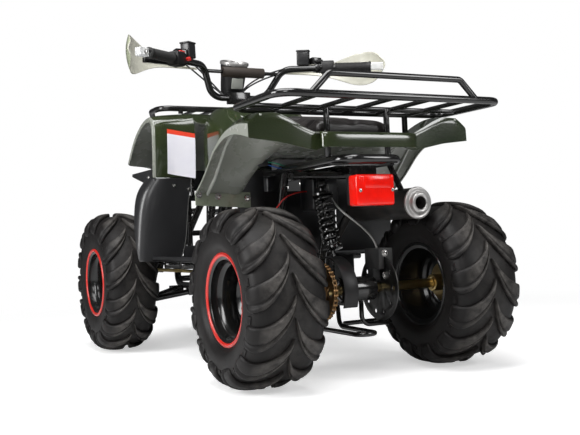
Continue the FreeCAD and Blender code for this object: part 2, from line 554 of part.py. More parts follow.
frontNuts = [Part.makeCylinder(s.wheelNutDiameter / 2, s.wheelNutHeight,
                               p + Vector(frontDish + s.rimDishWall, 0, 0), Vector(1, 0, 0))
             for p in around(frontAxle, s.wheelNutCircle, 4, 0.5)]
hubShape = Part.makeCompound([frontHub] + frontNuts)
feature("front_hub_left", hubShape)
feature("front_hub_right", mirrored(hubShape))

drumPlateStart = drumStart - s.runningFit - s.drumPlateWall
upright = rod(kingpin - Vector(0, 0, s.uprightRise), kingpin + Vector(0, 0, s.uprightRise), s.kingpinDiameter)
plate = ringPlate(s.drumDiameter, s.spindleDiameter, drumPlateStart, drumPlateStart + s.drumPlateWall, frontAxle)
spindle = rod(kingpin, frontAxle + Vector(capEnd - 2 * s.wheelNutHeight, 0, 0), s.spindleDiameter)
boss = rod(kingpin, frontAxle + Vector(drumPlateStart, 0, 0), s.frontHubDiameter)
armLevel = s.stemFootHeight - s.tieRodDrop
armTip = kingpin + Vector(0, s.steerArmReach, 0)
armTip.z = armLevel - s.steerArmWall
armRoot = kingpin + Vector(0, 0, 0)
armRoot.z = armTip.z
steerArm = bar(armRoot, armTip, s.steerArmWidth, s.steerArmWall)
stud = rod(armTip, armTip + Vector(0, 0, s.tieRodDrop + s.steerArmWall), s.tieStudDiameter)
kingpinRise = rod(kingpin, Vector(kingpin.x, kingpin.y, armTip.z + s.steerArmWall / 2), s.kingpinDiameter)
knuckle = fuse([upright, plate, spindle, boss, kingpinRise, steerArm, stud])
feature("knuckle_left", knuckle)
feature("knuckle_right", mirrored(knuckle))

# steering stem with the drop arm at its foot
stemFoot = Vector(0, frontPlace + s.stemFootBack, s.stemFootHeight)
stemTop = Vector(0, frontPlace + s.stemTopBack, s.stemTopHeight)
stemLine = (stemTop - stemFoot).normalize()
stemBack = Vector(0, stemLine.z, -stemLine.y)
pitmanTip = stemFoot + stemBack * s.pitmanReach
pitman = prism([(-s.pitmanWidth / 2, 0), (s.pitmanWidth / 2, 0), (s.tieBallSpread + s.tieStudDiameter, s.pitmanReach),
                (s.tieBallSpread, s.pitmanReach + s.tieStudDiameter), (-s.tieBallSpread, s.pitmanReach + s.tieStudDiameter),
                (-s.tieBallSpread - s.tieStudDiameter, s.pitmanReach)], "Z", -s.pitmanWall / 2, s.pitmanWall / 2)
lean = math.degrees(math.atan2(-stemBack.z, stemBack.y))
pitman.Placement = Placement(stemFoot, Rotation(Vector(1, 0, 0), -lean))
studs = [rod(pitmanTip + Vector(k * s.tieBallSpread, 0, 0), pitmanTip + Vector(k * s.tieBallSpread, 0, 0)
             - stemLine * s.tieRodDrop, s.tieStudDiameter) for k in (1, -1)]
clamp = bar(stemTop - Vector(s.barFootSpread / 2, 0, 0), stemTop + Vector(s.barFootSpread / 2, 0, 0),
            s.pitmanWidth, s.pitmanWidth * 1.5, Vector(0, 1, 0))
barSpace = rod(stemTop - Vector(s.barFootSpread, 0, 0), stemTop + Vector(s.barFootSpread, 0, 0), s.barDiameter)
stem = fuse([rod(stemFoot - stemLine * s.pitmanWall, stemTop, s.stemDiameter), pitman] + studs + [clamp]).cut(barSpace)
feature("steering_stem", stem)

# tie rods: the inner eye turns on the drop arm, the outer eye is open round its stud
innerEye = pitmanTip + Vector(s.tieBallSpread, 0, 0) - stemLine * (s.tieRodDrop - s.tieRodEndWall / 2)
outerEye = armTip + Vector(0, 0, s.tieRodDrop)
outerSpace = s.tieStudDiameter + 2 * s.freeGap


def tieRod():
    inner = Part.makeCylinder(s.tieRodEndDiameter / 2, s.tieRodEndWall, innerEye - stemLine * (s.tieRodEndWall / 2), stemLine)
    outer = Part.makeCylinder((outerSpace + s.tieRodEndWall) / 2, s.tieRodEndWall,
                              outerEye - Vector(0, 0, s.tieRodEndWall / 2), Vector(0, 0, 1))
    shape = fuse([rod(innerEye, outerEye, s.tieRodDiameter), inner, outer])
    innerBore = rod(innerEye - stemLine * s.tieRodEndWall, innerEye + stemLine * s.tieRodEndWall,
                    s.tieStudDiameter + 2 * s.runningFit)
    outerBore = rod(outerEye - Vector(0, 0, s.tieRodEndWall), outerEye + Vector(0, 0, s.tieRodEndWall), outerSpace)
    return shape.cut(innerBore).cut(outerBore)


feature("tie_rod_left", tieRod())
feature("tie_rod_right", mirrored(nodes[-1].Shape))

# wishbones and shock absorbers
def wishbone(level, ballLevel, tip):
    ends = [Vector(s.armPivotSpread, frontAxle.y + k * s.armHalfBase, level) for k in (1, -1)]
    ball = Vector(tip, frontAxle.y, ballLevel)
    shapes = [rod(end, ball, s.armTubeDiameter) for end in ends]
    shapes += [rod(end - Vector(0, s.shockEyeWidth / 2, 0), end + Vector(0, s.shockEyeWidth / 2, 0), s.shockEyeDiameter)
               for end in ends]
    return shapes, ball


lowerLevel = kingpin.z - s.uprightRise
upperLevel = kingpin.z + s.uprightRise
ballGap = s.kingpinDiameter / 2 + s.freeGap
lowerShapes, lowerBall = wishbone(s.lowerArmHeight, lowerLevel - s.ballJointDiameter / 2 - s.runningFit, s.kingpinOffset)
upperShapes, upperBall = wishbone(s.upperArmHeight, upperLevel + s.ballJointDiameter / 2 + s.runningFit, s.kingpinOffset)
lowerShapes.append(Part.makeCylinder(s.ballJointDiameter / 2, s.ballJointDiameter,
                                     lowerBall - Vector(0, 0, s.ballJointDiameter / 2), Vector(0, 0, 1)))
upperShapes.append(Part.makeCylinder(s.ballJointDiameter / 2, s.ballJointDiameter,
                                     upperBall - Vector(0, 0, s.ballJointDiameter / 2), Vector(0, 0, 1)))
lowerArm = fuse(lowerShapes)
upperArm = fuse(upperShapes)
wishbones = Part.makeCompound([lowerArm, mirrored(lowerArm), upperArm, mirrored(upperArm)])
feature("suspension_arms", wishbones)

lowerPivot = Vector(s.armPivotSpread, frontAxle.y, s.lowerArmHeight)
shockFoot = lowerPivot + (lowerBall - lowerPivot) * s.shockFootShare + Vector(0, 0, s.shockEyeDiameter)
shockTop = Vector(s.shockTopSpread, frontAxle.y, s.shockTopHeight)


springShares = (0.24, 0.84)


def shock(foot, top, coil, across):
    # damper body inside a spring whose turns stand as rings between two seats
    line = (top - foot).normalize()
    length = (top - foot).Length
    first, last = (foot + line * (share * length) for share in springShares)
    run = (last - first).Length
    shapes = [rod(foot, top, s.shockRodDiameter), rod(first, last, coil - s.shockWire)]
    shapes += [rod(p - across * (s.shockEyeWidth / 2), p + across * (s.shockEyeWidth / 2), s.shockEyeDiameter)
               for p in (foot, top)]
    turns = int(s.shockTurns)
    for k in range(turns + 1):
        centre = first + line * (run * k / turns)
        shapes.append(Part.makeTorus((coil - s.shockWire) / 2, s.shockWire / 2, centre, line))
    shapes += [rod(p - line * (s.panelWall / 2), p + line * (s.panelWall / 2), coil) for p in (first, last)]
    return fuse(shapes)

frontShock = shock(shockFoot, shockTop, s.shockCoilDiameter, Vector(0, 1, 0))
feature("front_shocks", pair(frontShock))
rearShockFoot = Vector(0, rearPlace - s.rearShockFootAhead, s.rearShockFootHeight)
rearShockTop = Vector(0, rearPlace - s.rearShockTopAhead, s.rearShockTopHeight)
feature("rear_shock", shock(rearShockFoot, rearShockTop, s.rearShockCoilDiameter, Vector(1, 0, 0)))

# frame: lower cradle, seat rails with the tail hoop, front towers and brackets
low = s.lowerRailSpread
noseY = frontPlace - s.noseAhead
crossGap = (s.crossDiameter + s.shockEyeDiameter) / 2 + s.runningFit
stemHead = stemFoot + stemLine * ((s.frameHeadHeight - s.stemFootHeight) / stemLine.z)
stemSeat = stemFoot + stemLine * s.stemSeatRise
headEnd = stemHead + Vector(s.upperRailSpread / 2, 0, 0)
lowRail = [Vector(low, noseY, s.upperArmHeight), Vector(low, noseY, s.lowerRailHeight),
           Vector(low, rearPlace - s.kickAhead - s.railBend, s.lowerRailHeight),
           Vector(low, rearPlace - s.kickAhead + s.railBend, s.upperRailHeight)]
seatRail = [headEnd, Vector(s.upperRailSpread, frontPlace + s.kneeBack, s.upperRailHeight),
            Vector(s.upperRailSpread, rearPlace + s.tailBack, s.upperRailHeight)]
hoopRail = seatRail + [Vector(-p.x, p.y, p.z) for p in seatRail[::-1]]
towerZ = s.shockTopHeight + crossGap
uprightY = frontPlace + s.rearUprightBack
half = [tube(lowRail, s.railDiameter, s.railBend), rod(headEnd, lowRail[0], s.railDiameter),
        rod(lowRail[0], Vector(low, uprightY, s.upperArmHeight), s.crossDiameter),
        rod(Vector(low, uprightY, s.lowerRailHeight), headEnd, s.crossDiameter),
        rod(Vector(low, frontAxle.y, s.upperArmHeight), Vector(low, frontAxle.y, towerZ), s.crossDiameter)]
armPlates = []
for level, ball in ((s.lowerArmHeight, lowerBall), (s.upperArmHeight, upperBall)):
    for k in (1, -1):
        armPivot = Vector(s.armPivotSpread, frontAxle.y + k * s.armHalfBase, level)
        armSpace = rod(armPivot, ball, s.armTubeDiameter + 2 * s.runningFit)
        for m in (1, -1):
            y = armPivot.y + m * (s.shockEyeWidth / 2 + s.panelWall / 2 + s.runningFit)
            armPlate = bar(Vector(low + s.crossDiameter / 4, y, level),
                           Vector(s.armPivotSpread + s.shockEyeDiameter / 2, y, level), s.panelWall,
                           s.shockEyeDiameter, Vector(0, 1, 0))
            armPlates.append(largest(armPlate.cut(armSpace)))
half += armPlates
half += [mirrored(shape) for shape in half]


def cross(y, z, half, diameter):
    return rod(Vector(-half, y, z), Vector(half, y, z), diameter)


stepFront = frontPlace + s.stepFrontBack
stepBack = rearPlace - s.stepBackAhead
footTubeShares = (0.243, 0.553)
footTubePlaces = [stepFront + (stepBack - stepFront) * share for share in footTubeShares]
footTubes = []
for y in footTubePlaces:
    out = [Vector(s.stepInner + s.crossDiameter / 2, y, s.lowerRailHeight),
           Vector(s.stepInner + 2 * s.crossDiameter, y, s.stepHeight - s.stepWall - s.crossDiameter / 2),
           Vector(s.stepOuter - s.stepWall, y, s.stepHeight - s.stepWall - s.crossDiameter / 2)]
    footTubes.append(tube([Vector(-p.x, p.y, p.z) for p in out[::-1]] + out, s.crossDiameter, s.crossDiameter))
crosses = [cross(noseY, s.lowerRailHeight + s.crossDiameter, low, s.crossDiameter),
           cross(swingPivot.y - s.crossDiameter * 2, s.lowerRailHeight, low, s.crossDiameter),
           cross(stemHead.y, stemHead.z, headEnd.x, s.crossDiameter),
           cross(stemSeat.y, s.upperArmHeight + s.crossDiameter / 4, low, s.crossDiameter),
           cross(frontAxle.y, towerZ, s.shockTopSpread, s.crossDiameter),
           cross(rearShockTop.y, rearShockTop.z + crossGap, s.upperRailSpread, s.crossDiameter)]
collars = [rod(p - stemLine * (s.collarLength / 2), p + stemLine * (s.collarLength / 2), s.collarDiameter)
           for p in (stemHead, stemSeat)]
stemSpace = rod(stemFoot - stemLine * s.stemDiameter, stemTop, s.stemDiameter + 2 * s.runningFit)
stemBearings = [fuse([tubeAcross, collar]).cut(stemSpace) for tubeAcross, collar in zip(crosses[2:4], collars)]
lugStart = s.swingSpread + s.swingTubeDiameter / 2 + s.runningFit
swingLugs = [rod(swingPivot + Vector(k * lugStart, 0, 0), swingPivot + Vector(k * low, 0, 0), s.swingTubeDiameter)
             for k in (1, -1)]
lampEnd = rearPlace + s.lampBack
lampY = lampEnd - s.lampDepth
postY = rearPlace + s.rearPostBack
lampPlate = fuse([Part.makeBox(2 * s.upperRailSpread, s.panelWall, s.railDiameter,
                               Vector(-s.upperRailSpread, lampY - s.panelWall, s.upperRailHeight - s.railDiameter / 2)),
                  Part.makeBox(s.lampHeight, s.panelWall, s.upperRailHeight - s.lampFloor,
                               Vector(-s.lampHeight / 2, lampY - s.panelWall, s.lampFloor))])
mufflerEnd = Vector(-s.mufflerOffset, rearPlace + s.mufflerBack, s.mufflerHeight)
mufflerStart = mufflerEnd - Vector(0, s.mufflerLength, 0)
mufflerBody = rod(mufflerStart, mufflerEnd, s.mufflerDiameter)

mufflerStay = bar(Vector(-s.upperRailSpread, postY, s.upperRailHeight),
                  Vector(-s.mufflerOffset, postY, s.mufflerHeight), s.panelWall, s.crossDiameter,
                  Vector(0, 0, 1)).cut(mufflerBody)
frame = fuse([tube(hoopRail, s.railDiameter, s.railBend)] + half + footTubes + crosses[:2] + crosses[4:]
             + stemBearings + swingLugs + [lampPlate, mufflerStay])

# rear fender: one sheet across the vehicle, with skirt, crest and step down to the deck at each side
w = s.panelWall
archStart = rearPlace - s.archAhead
archEnd = archStart + s.archLength
# along the arch; heights of skirt foot, skirt top, outer crest, inner crest, inner foot and deck
archShares = [(0.0, (0.13, 0.176, 0.176, 0.167, 0.12, 0.595)), (0.163, (0.30, 0.348, 0.367, 0.371, 0.31, 0.614)),
              (0.29, (0.49, 0.552, 0.585, 0.595, 0.44, 0.63)), (0.38, (0.63, 0.70, 0.745, 0.755, 0.54, 0.652)),
              (0.557, (0.766, 0.867, 0.929, 0.938, 0.714, 0.719)), (0.70, (0.79, 0.92, 1.0, 1.005, 0.79, 0.75)),
              (0.815, (0.775, 0.94, 1.014, 1.024, 0.833, 0.767)), (0.984, (0.70, 0.89, 0.99, 1.0, 0.857, 0.776))]
crossShares = (1.0, 0.998, 0.904, 0.763, 0.569, 0.449)
rearEdgeShares = [(-0.449, 0.55), (-0.75, 0.65), (-1.0, 0.69)]


def acrossArch(heights):
    side = [(s.fenderLip * x, s.archFoot + s.archRise * z) for x, z in zip(crossShares, heights)]
    return side + [(-x, z) for x, z in side[::-1]]


archStations = [(archStart + s.archLength * share, acrossArch(heights)) for share, heights in archShares]
arch = shell(archStations, "Y", -w)
edgeOutline = archStations[-1][1] + scaled(rearEdgeShares[::-1], (0, s.archFoot), (s.fenderLip, s.archRise))
edgeOutline += scaled([(-x, z) for x, z in rearEdgeShares], (0, s.archFoot), (s.fenderLip, s.archRise))
edgeStart = archStations[-1][0]
rearEdge = prism(edgeOutline, "Y", edgeStart - w, edgeStart)
deckLine = [(rearPlace - s.deckFrontAhead, s.deckFrontHeight)]
deckLine += [(place, outline[len(crossShares) - 1][1]) for place, outline in archStations]
deckHalf = archStations[0][1][len(crossShares) - 1][0]
deckFront = shell([(deckHalf, deckLine[:2]), (-deckHalf, deckLine[:2])], "X", w)
tongueShares = [(-0.3, 0.0), (0.7, -0.05), (0.95, -0.15), (1.0, -1.0)]
tongueLine = scaled(tongueShares, deckLine[-1], (s.tailTongue, s.tailBandHeight))
tongue = shell([(s.tongueHalf, tongueLine), (-s.tongueHalf, tongueLine)], "X", w)
flange = prism(scaled([(0, 0.1), (0, 1), (1, 1), (1, 0)], (s.flangeInner, s.flangeFoot),
                      (s.fenderLip - s.flangeInner, s.archFoot + s.archRise * archShares[0][1][1] - s.flangeFoot)),
               "Y", archStart, archStart + w)
ribLine = [(place, outline[2][1] - w / 2) for place, outline in archStations[:-1]]
rib = shell([(s.ribSpread - s.ribWidth / 2, ribLine), (s.ribSpread + s.ribWidth / 2, ribLine)], "X", s.ribDepth)
postSpace = [rod(Vector(k * s.rearPostSpread, postY, s.upperRailHeight),
                 Vector(k * s.rearPostSpread, postY, s.rearRackHeight), s.hoopDiameter + 2 * w) for k in (1, -1)]
rearFender = fuse([arch, rearEdge, deckFront, tongue, flange, mirrored(flange), rib, mirrored(rib)]).cut(
    Part.makeCompound(postSpace))
feature("rear_fender", rearFender)

# front fender: arch over each wheel with the wall behind it, rolled lip, hood and nose
archFace = frontPlace - s.frontArchFront + s.frontArchLength
outerShares = [(-0.067, 0.0), (-0.051, 0.427), (-0.041, 0.70), (-0.072, 0.83), (-0.115, 0.895), (-0.22, 0.90),
               (-0.333, 0.859), (-0.52, 0.71), (-0.64, 0.541), (-0.769, 0.314)]
middleShares = [(-0.056, 0.0), (-0.021, 0.473), (-0.015, 0.755), (-0.05, 0.89), (-0.128, 0.973), (-0.25, 0.975),
                (-0.385, 0.927), (-0.58, 0.76), (-0.718, 0.586), (-0.872, 0.291)]
innerShares = [(0.0, 0.0), (0.026, 0.518), (0.013, 0.795), (-0.03, 0.93), (-0.128, 1.0), (-0.28, 0.995),
               (-0.436, 0.955), (-0.64, 0.82), (-0.795, 0.655), (-1.0, 0.245)]
frontOuter, frontMiddle, frontInner = (
    scaled(shares, (archFace, s.frontArchFoot), (s.frontArchLength, s.frontArchRise))
    for shares in (outerShares, middleShares, innerShares))
lipF, innerF = s.frontLip, s.frontFenderInner
hoodFrom = 2
frontArch = shell([(lipF, frontOuter), ((lipF + innerF) / 2, frontMiddle), (innerF, frontInner)], "X", -w)
frontRim = shell([(lipF - w, frontOuter), (lipF, frontOuter)], "X", -s.lipDepth)
hood = shell([(innerF, frontInner[hoodFrom:]), (-innerF, frontInner[hoodFrom:])], "X", -w)
stemHole = rod(stemFoot, stemTop, s.stemDiameter + 6 * s.freeGap)
frontFender = fuse([frontArch, mirrored(frontArch), frontRim, mirrored(frontRim), hood]).cut(stemHole)
feature("front_fender", frontFender)

# nose with a slotted grille and a round lamp at each side
noseStations = [(0.41, 1.0, 0.0, 1.0), (0.80, 0.87, 0.11, 0.91), (1.0, 0.67, 0.28, 0.74)]
nose = loft([(frontPlace - s.noseFront * ahead,
              [(-s.noseHalf * wide, s.noseFloor + s.noseHeight * bottom), (s.noseHalf * wide, s.noseFloor + s.noseHeight * bottom),
               (s.noseHalf * wide * 0.92, s.noseFloor + s.noseHeight * top),
               (-s.noseHalf * wide * 0.92, s.noseFloor + s.noseHeight * top)])
             for ahead, wide, bottom, top in noseStations], "Y")
slotHalf = s.noseHalf * noseStations[-1][1] - s.grilleSlotHeight
slotSpan = s.noseHeight * (noseStations[-1][3] - noseStations[-1][2])
for k in range(int(s.grilleSlots)):
    slotFloor = s.noseFloor + s.noseHeight * noseStations[-1][2] + slotSpan * (k + 0.5) / s.grilleSlots
    nose = nose.cut(Part.makeBox(2 * slotHalf, s.grilleDepth + s.overrun, s.grilleSlotHeight / 2,
                                 Vector(-slotHalf, frontPlace - s.noseFront - s.overrun, slotFloor)))
noseBody = largest(nose.cut(frontFender))
feature("nose_grille", noseBody)
lamp = Part.makeCone(s.headlampDiameter / 2, s.headlampBack / 2, s.headlampDepth,
                     Vector(s.headlampSpread, frontPlace - s.headlampAhead, s.headlampHeight), Vector(0, -1, 0))
feature("headlamps", pair(lamp.cut(frontFender).cut(noseBody)))

# posts between the frame and the hood
hoodPosts = [rod(Vector(k * s.hoodPostSpread, frontAxle.y, towerZ), Vector(k * s.hoodPostSpread, frontAxle.y, s.frontRackHeight),
                 s.hoopDiameter).cut(frontFender) for k in (1, -1)]
hoodPosts = [min(post.Solids, key=lambda solid: solid.CenterOfMass.z) for post in hoodPosts]
feature("frame", fuse([frame] + hoodPosts))

# racks
back, fore, half = rearPlace + s.rearRackBack, rearPlace - s.rearRackAhead, s.rearRackHalfWidth
rackZ = s.rearRackHeight
loop = hoop([Vector(half, back, rackZ), Vector(half, fore, rackZ), Vector(-half, fore, rackZ),
             Vector(-half, back, rackZ)], s.rackTubeDiameter, s.rearRackCorner)
slats = [rod(Vector(x, fore, rackZ), Vector(x, back, rackZ), s.slatDiameter)
         for x in [half * (2 * (k + 1) / (s.rackSlats + 1) - 1) for k in range(int(s.rackSlats))]]
raised = tube([Vector(s.hoopFootSpread, back, rackZ), Vector(s.hoopTopSpread, back, rackZ + s.hoopRise),
               Vector(-s.hoopTopSpread, back, rackZ + s.hoopRise), Vector(-s.hoopFootSpread, back, rackZ)],
              s.hoopDiameter, s.rackTubeDiameter)
posts = [rod(Vector(s.rearPostSpread, postY, s.upperRailHeight + s.railDiameter / 2 + s.seatGap),
             Vector(s.rearPostSpread, postY, rackZ), s.hoopDiameter),
         rod(Vector(s.sidePostSpread, fore, s.upperRailHeight), Vector(s.sidePostSpread, fore, rackZ), s.hoopDiameter)]
posts[1] = max(posts[1].cut(rearFender).Solids, key=lambda solid: solid.CenterOfMass.z)
posts += [cross(postY, rackZ, half, s.slatDiameter)]
feature("rear_rack", fuse([loop, raised] + slats + posts + [mirrored(post) for post in posts[:2]]))

back, fore, z = frontPlace + s.frontRackBack, frontPlace - s.frontRackAhead, s.frontRackHeight
frontHalf = s.frontRackFrontHalf
loopSide = [Vector(s.frontRackBackHalf, back, z), Vector(s.frontRackBackHalf, back - s.frontRackSide, z),
            Vector(frontHalf, fore, z)]
loop = hoop(loopSide + [Vector(-p.x, p.y, p.z) for p in loopSide[::-1]], s.rackTubeDiameter, s.frontRackCorner)
rackPostShare = 0.8
slats = [rod(Vector(x, fore, z), Vector(x, back, z), s.slatDiameter)
         for x in [frontHalf * (2 * (k + 1) / (s.rackSlats + 1) - 1) for k in range(int(s.rackSlats))]]
posts = [rod(Vector(x, y, z - s.frontPostLength), Vector(x, y, z), s.hoopDiameter).cut(frontFender)
         for x, y in ((frontHalf * rackPostShare, fore + s.frontRackCorner), (frontHalf, back))]
posts = [max(post.Solids, key=lambda solid: solid.CenterOfMass.z) for post in posts]
posts += [cross(fore + s.frontRackCorner, z, frontHalf, s.slatDiameter)]
feature("front_rack", fuse([loop] + slats + posts + [mirrored(post) for post in posts[:2]]))

bumperFace = frontPlace - s.bumperAhead
bumperHalf = [Vector(s.bumperSpread, bumperFace + s.bumperLean, s.bumperTop),
              Vector(s.bumperSpread, bumperFace, s.bumperLow + s.bumperBelly),
              Vector(s.bumperSpread, bumperFace + s.bumperTuck, s.bumperLow)]
bumper = hoop(bumperHalf + [Vector(-p.x, p.y, p.z) for p in bumperHalf[::-1]], s.bumperDiameter, s.railBend)
bumperSide, sideFoot, bumperFoot = bumperHalf
stayShare = (s.bumperTop - s.stayHeight) / (s.bumperTop - s.bumperLow - s.bumperBelly)
headFoot = headEnd + (lowRail[0] - headEnd) * ((headEnd.z - s.stayHeight) / (headEnd.z - lowRail[0].z))

stays = [rod(Vector(low, noseY, s.lowerRailHeight + s.railBend), Vector(low, bumperFoot.y, s.bumperLow),
             s.crossDiameter),
         rod(headFoot, bumperSide + (sideFoot - bumperSide) * stayShare, s.crossDiameter)]
bumperShape = fuse([bumper, cross(bumperFace, sideFoot.z, s.bumperSpread, s.crossDiameter)]
                   + stays + [mirrored(stay) for stay in stays]).cut(frame.copy())
feature("front_bumper", max(bumperShape.Solids, key=lambda solid: solid.Volume))

# cowl over the tank, with a shoulder along each side and a low ridge
cowlFloor = s.upperRailHeight
cowlFront = frontPlace + s.cowlBack
seatFront = rearPlace - s.seatFrontAhead
cowlEnd = seatFront + s.cowlOverSeat
# along the cowl; half widths of foot, shoulder, edge; heights of shoulder, edge, ridge
cowlShares = [(0.0, (0.91, 0.93, 0.72), (0.72, 0.93, 0.955)), (0.18, (0.92, 1.0, 0.79), (0.765, 0.973, 1.0)),
              (0.43, (0.89, 0.99, 0.79), (0.74, 0.955, 0.99)), (0.68, (0.84, 0.94, 0.76), (0.68, 0.885, 0.925)),
              (0.86, (0.74, 0.84, 0.68), (0.60, 0.78, 0.82)), (1.0, (0.62, 0.70, 0.52), (0.50, 0.62, 0.66))]


def acrossCowl(widths, heights):
    rise = s.cowlTop - cowlFloor
    side = [(s.cowlHalf * widths[0], cowlFloor)]
    side += [(s.cowlHalf * x, cowlFloor + rise * z) for x, z in zip(widths[1:], heights)]
    return side + [(0, cowlFloor + rise * heights[-1])] + [(-x, z) for x, z in side[::-1]]


cowl = loft([(cowlFront + (cowlEnd - cowlFront) * share, acrossCowl(widths, heights))
             for share, widths, heights in cowlShares], "Y")
cowlShape = largest(cowl.cut(stemHole).cut(frame).cut(rearFender))
feature("tank_cowl", cowlShape)


# seat, its underside on the deck
def deckTop(place):
    for (ya, za), (yb, zb) in zip(deckLine, deckLine[1:]):
        if place <= yb:
            return za + (zb - za) * (place - ya) / (yb - ya) + s.seatGap


seatBack = rearPlace + s.seatBackBehind
seatBegin = seatFront + s.freeGap * 7
# along the seat; half widths of foot, bulge and top; height of the top from the floor
seatShares = [(0.0, (0.62, 0.66, 0.50), 0.990), (0.2, (0.90, 0.93, 0.75), 0.990), (0.48, (0.97, 1.0, 0.86), 1.0),
              (0.62, (0.97, 1.0, 0.87), 0.985), (0.745, (0.97, 1.0, 0.86), 0.963), (0.945, (0.96, 1.0, 0.82), 0.947),
              (1.0, (0.93, 0.97, 0.78), 0.937)]


def acrossSeat(place, widths, top):
    foot = deckTop(place)
    half = s.seatHalfWidth
    side = [(half * widths[0], foot), (half * widths[1], foot + (top - foot) * 0.45),
            (half * (widths[1] + widths[2]) / 2, foot + (top - foot) * 0.85), (half * widths[2], top)]
    return side + [(-x, z) for x, z in side[::-1]]


seat = loft([(seatBegin + (seatBack - seatBegin) * share,
              acrossSeat(seatBegin + (seatBack - seatBegin) * share, widths, s.seatTop * top))
             for share, widths, top in seatShares], "Y")
seatShape = seat.cut(rearFender).cut(Part.makeCompound(postSpace)).cut(cowlShape)
feature("seat", largest(seatShape))

# footwells: ribbed floor, mudguard behind the front wheel with its outer wrap, flap under the fender
floorFoot = s.stepHeight - s.stepWall
floor = prism([(s.stepInner, stepFront), (s.stepOuter, stepFront), (s.stepOuter, stepBack),
               (s.stepInner, stepBack)], "Z", floorFoot, s.stepHeight)
guardShares = [(0.0, 0.0), (0.72, 0.0), (0.90, -0.10), (1.0, -0.30), (1.0, -0.55)]
wrapShares = [(0.0, 0.0), (0.70, -0.02), (0.90, -0.16), (0.985, -0.45), (1.0, -1.0)]
mudguardWidth = s.mudguardOuter - s.mudguardInner
wallFoot, wallTop = (scaled(shares, (s.mudguardInner, stepFront), (mudguardWidth, depth))
                     for shares, depth in ((guardShares, s.stepRib), (wrapShares, s.mudguardWrap)))
guardWall = shell([(floorFoot, wallFoot), (s.mudguardTop, wallTop)], "Z", -w)
toeWall = prism([(s.stepInner, stepFront), (s.mudguardInner + s.stepRib, stepFront),
                 (s.mudguardInner + s.stepRib, stepFront - w), (s.stepInner, stepFront - w)],
                "Z", floorFoot, s.stepHeight + s.stepRib * 4)
flapLine = [(stepFront - w, s.flapFloor), (frontPlace + s.flapBack - s.stepRib, s.flapFloor),
            (frontPlace + s.flapFront, s.flapTop - s.stepRib), (frontPlace + s.flapFront, s.flapTop),
            (frontPlace + s.flapBack - s.stepRib, s.flapTop), (stepFront - w, s.mudguardTop)]
flap = prism(flapLine, "X", s.flapSpread - w, s.flapSpread)
edgeRib = prism([(s.stepOuter - w, stepFront), (s.stepOuter, stepFront), (s.stepOuter, stepBack),
                 (s.stepOuter - w, stepBack)], "Z", floorFoot, s.stepHeight + s.stepRib)
footwell = fuse([floor, guardWall, toeWall, flap, edgeRib]).cut(frontFender)
feature("footwell_left", largest(footwell))
feature("footwell_right", mirrored(nodes[-1].Shape))
padX = s.stepOuter - w - s.runningFit - s.padWidth
padStart = stepFront + s.padInset
stepPad = Part.makeBox(s.padWidth, s.padLength, s.padRise, Vector(padX, padStart, s.stepHeight))
for k in range(int(s.padGrooves)):
    y = padStart + s.padLength * (k + 1) / (s.padGrooves + 1)
    stepPad = stepPad.cut(Part.makeBox(s.padWidth, s.padGroove, s.padRise, Vector(padX, y, s.stepHeight + s.padRise / 2)))
feature("step_pads", pair(stepPad))

# engine: crankcase, round side covers, finned cylinder lying forward, head and carburettor
engineY = rearPlace - s.engineAhead
engineFront = engineY - s.engineLength / 2
engineMiddle = s.engineFloor + s.engineHeight / 2
caseShares = [(0.0, 0.22), (0.0, 0.80), (0.12, 1.0), (0.62, 1.0), (0.88, 0.86), (1.0, 0.58), (1.0, 0.30),
              (0.86, 0.06), (0.70, 0.0), (0.10, 0.0)]
case = prism(scaled(caseShares, (engineFront, s.engineFloor), (s.engineLength, s.engineHeight)), "X",
             -s.engineWidth / 2, s.engineWidth / 2)
coverFace = Vector(-s.engineWidth / 2, engineY, engineMiddle)
covers = [rod(coverFace, coverFace - Vector(s.coverDepth, 0, 0), s.coverDiameter - s.coverStep),
          rod(coverFace, coverFace - Vector(s.coverDepth - s.coverStep, 0, 0), s.coverDiameter)]
driveShaft = ringPlate(s.spindleDiameter, 0, s.engineWidth / 2, s.sprocketOffset + s.chainWidth / 2, drive)
drivePlate = ringPlate(s.drivePlateDiameter, 0, *sprocketSpan, drive)
engineFeet = [Part.makeBox(s.engineWidth / 2, s.engineFoot, s.engineFloor - s.lowerRailHeight + s.engineFoot,
                           Vector(-s.engineWidth / 4, y - s.engineFoot / 2, s.lowerRailHeight))
              for y in footTubePlaces]
engine = largest(fuse([case, driveShaft, drivePlate] + covers + engineFeet).cut(frame))
feature("engine_case", engine)
cylStart = Vector(0, engineFront, engineMiddle + s.cylinderRise)
finShares = [(-1, -0.63), (-0.63, -1), (0.63, -1), (1, -0.63), (1, 0.63), (0.63, 1), (-0.63, 1), (-1, 0.63)]
finOutline = scaled(finShares, (0, cylStart.z), (s.finSize / 2, s.finSize / 2))
barrel = [rod(cylStart, cylStart - Vector(0, s.cylinderReach, 0), s.cylinderDiameter)]
for k in range(int(s.fins)):
    y = cylStart.y - s.cylinderReach * (k + 0.5) / s.fins
    barrel.append(prism(finOutline, "Y", y - s.finWall, y))
headEndY = cylStart.y - s.cylinderReach - s.headLength
barrel.append(prism(finOutline, "Y", headEndY, headEndY + s.headLength))
feature("engine_cylinder", fuse(barrel))
headTop = Vector(0, headEndY + s.headLength / 2, cylStart.z + s.finSize / 2)
carbCentre = headTop + Vector(0, s.carbLength, s.carbLength / 2)
carb = fuse([rod(headTop, Vector(0, headTop.y, carbCentre.z), s.pipeDiameter),
             rod(Vector(0, headTop.y, carbCentre.z), carbCentre, s.pipeDiameter),
             rod(carbCentre - Vector(0, 0, s.carbLength / 2), carbCentre + Vector(0, 0, s.carbLength / 2), s.carbDiameter)])
feature("carburettor", carb)
port = Vector(-s.portSpread, headTop.y, cylStart.z - s.finSize / 2)
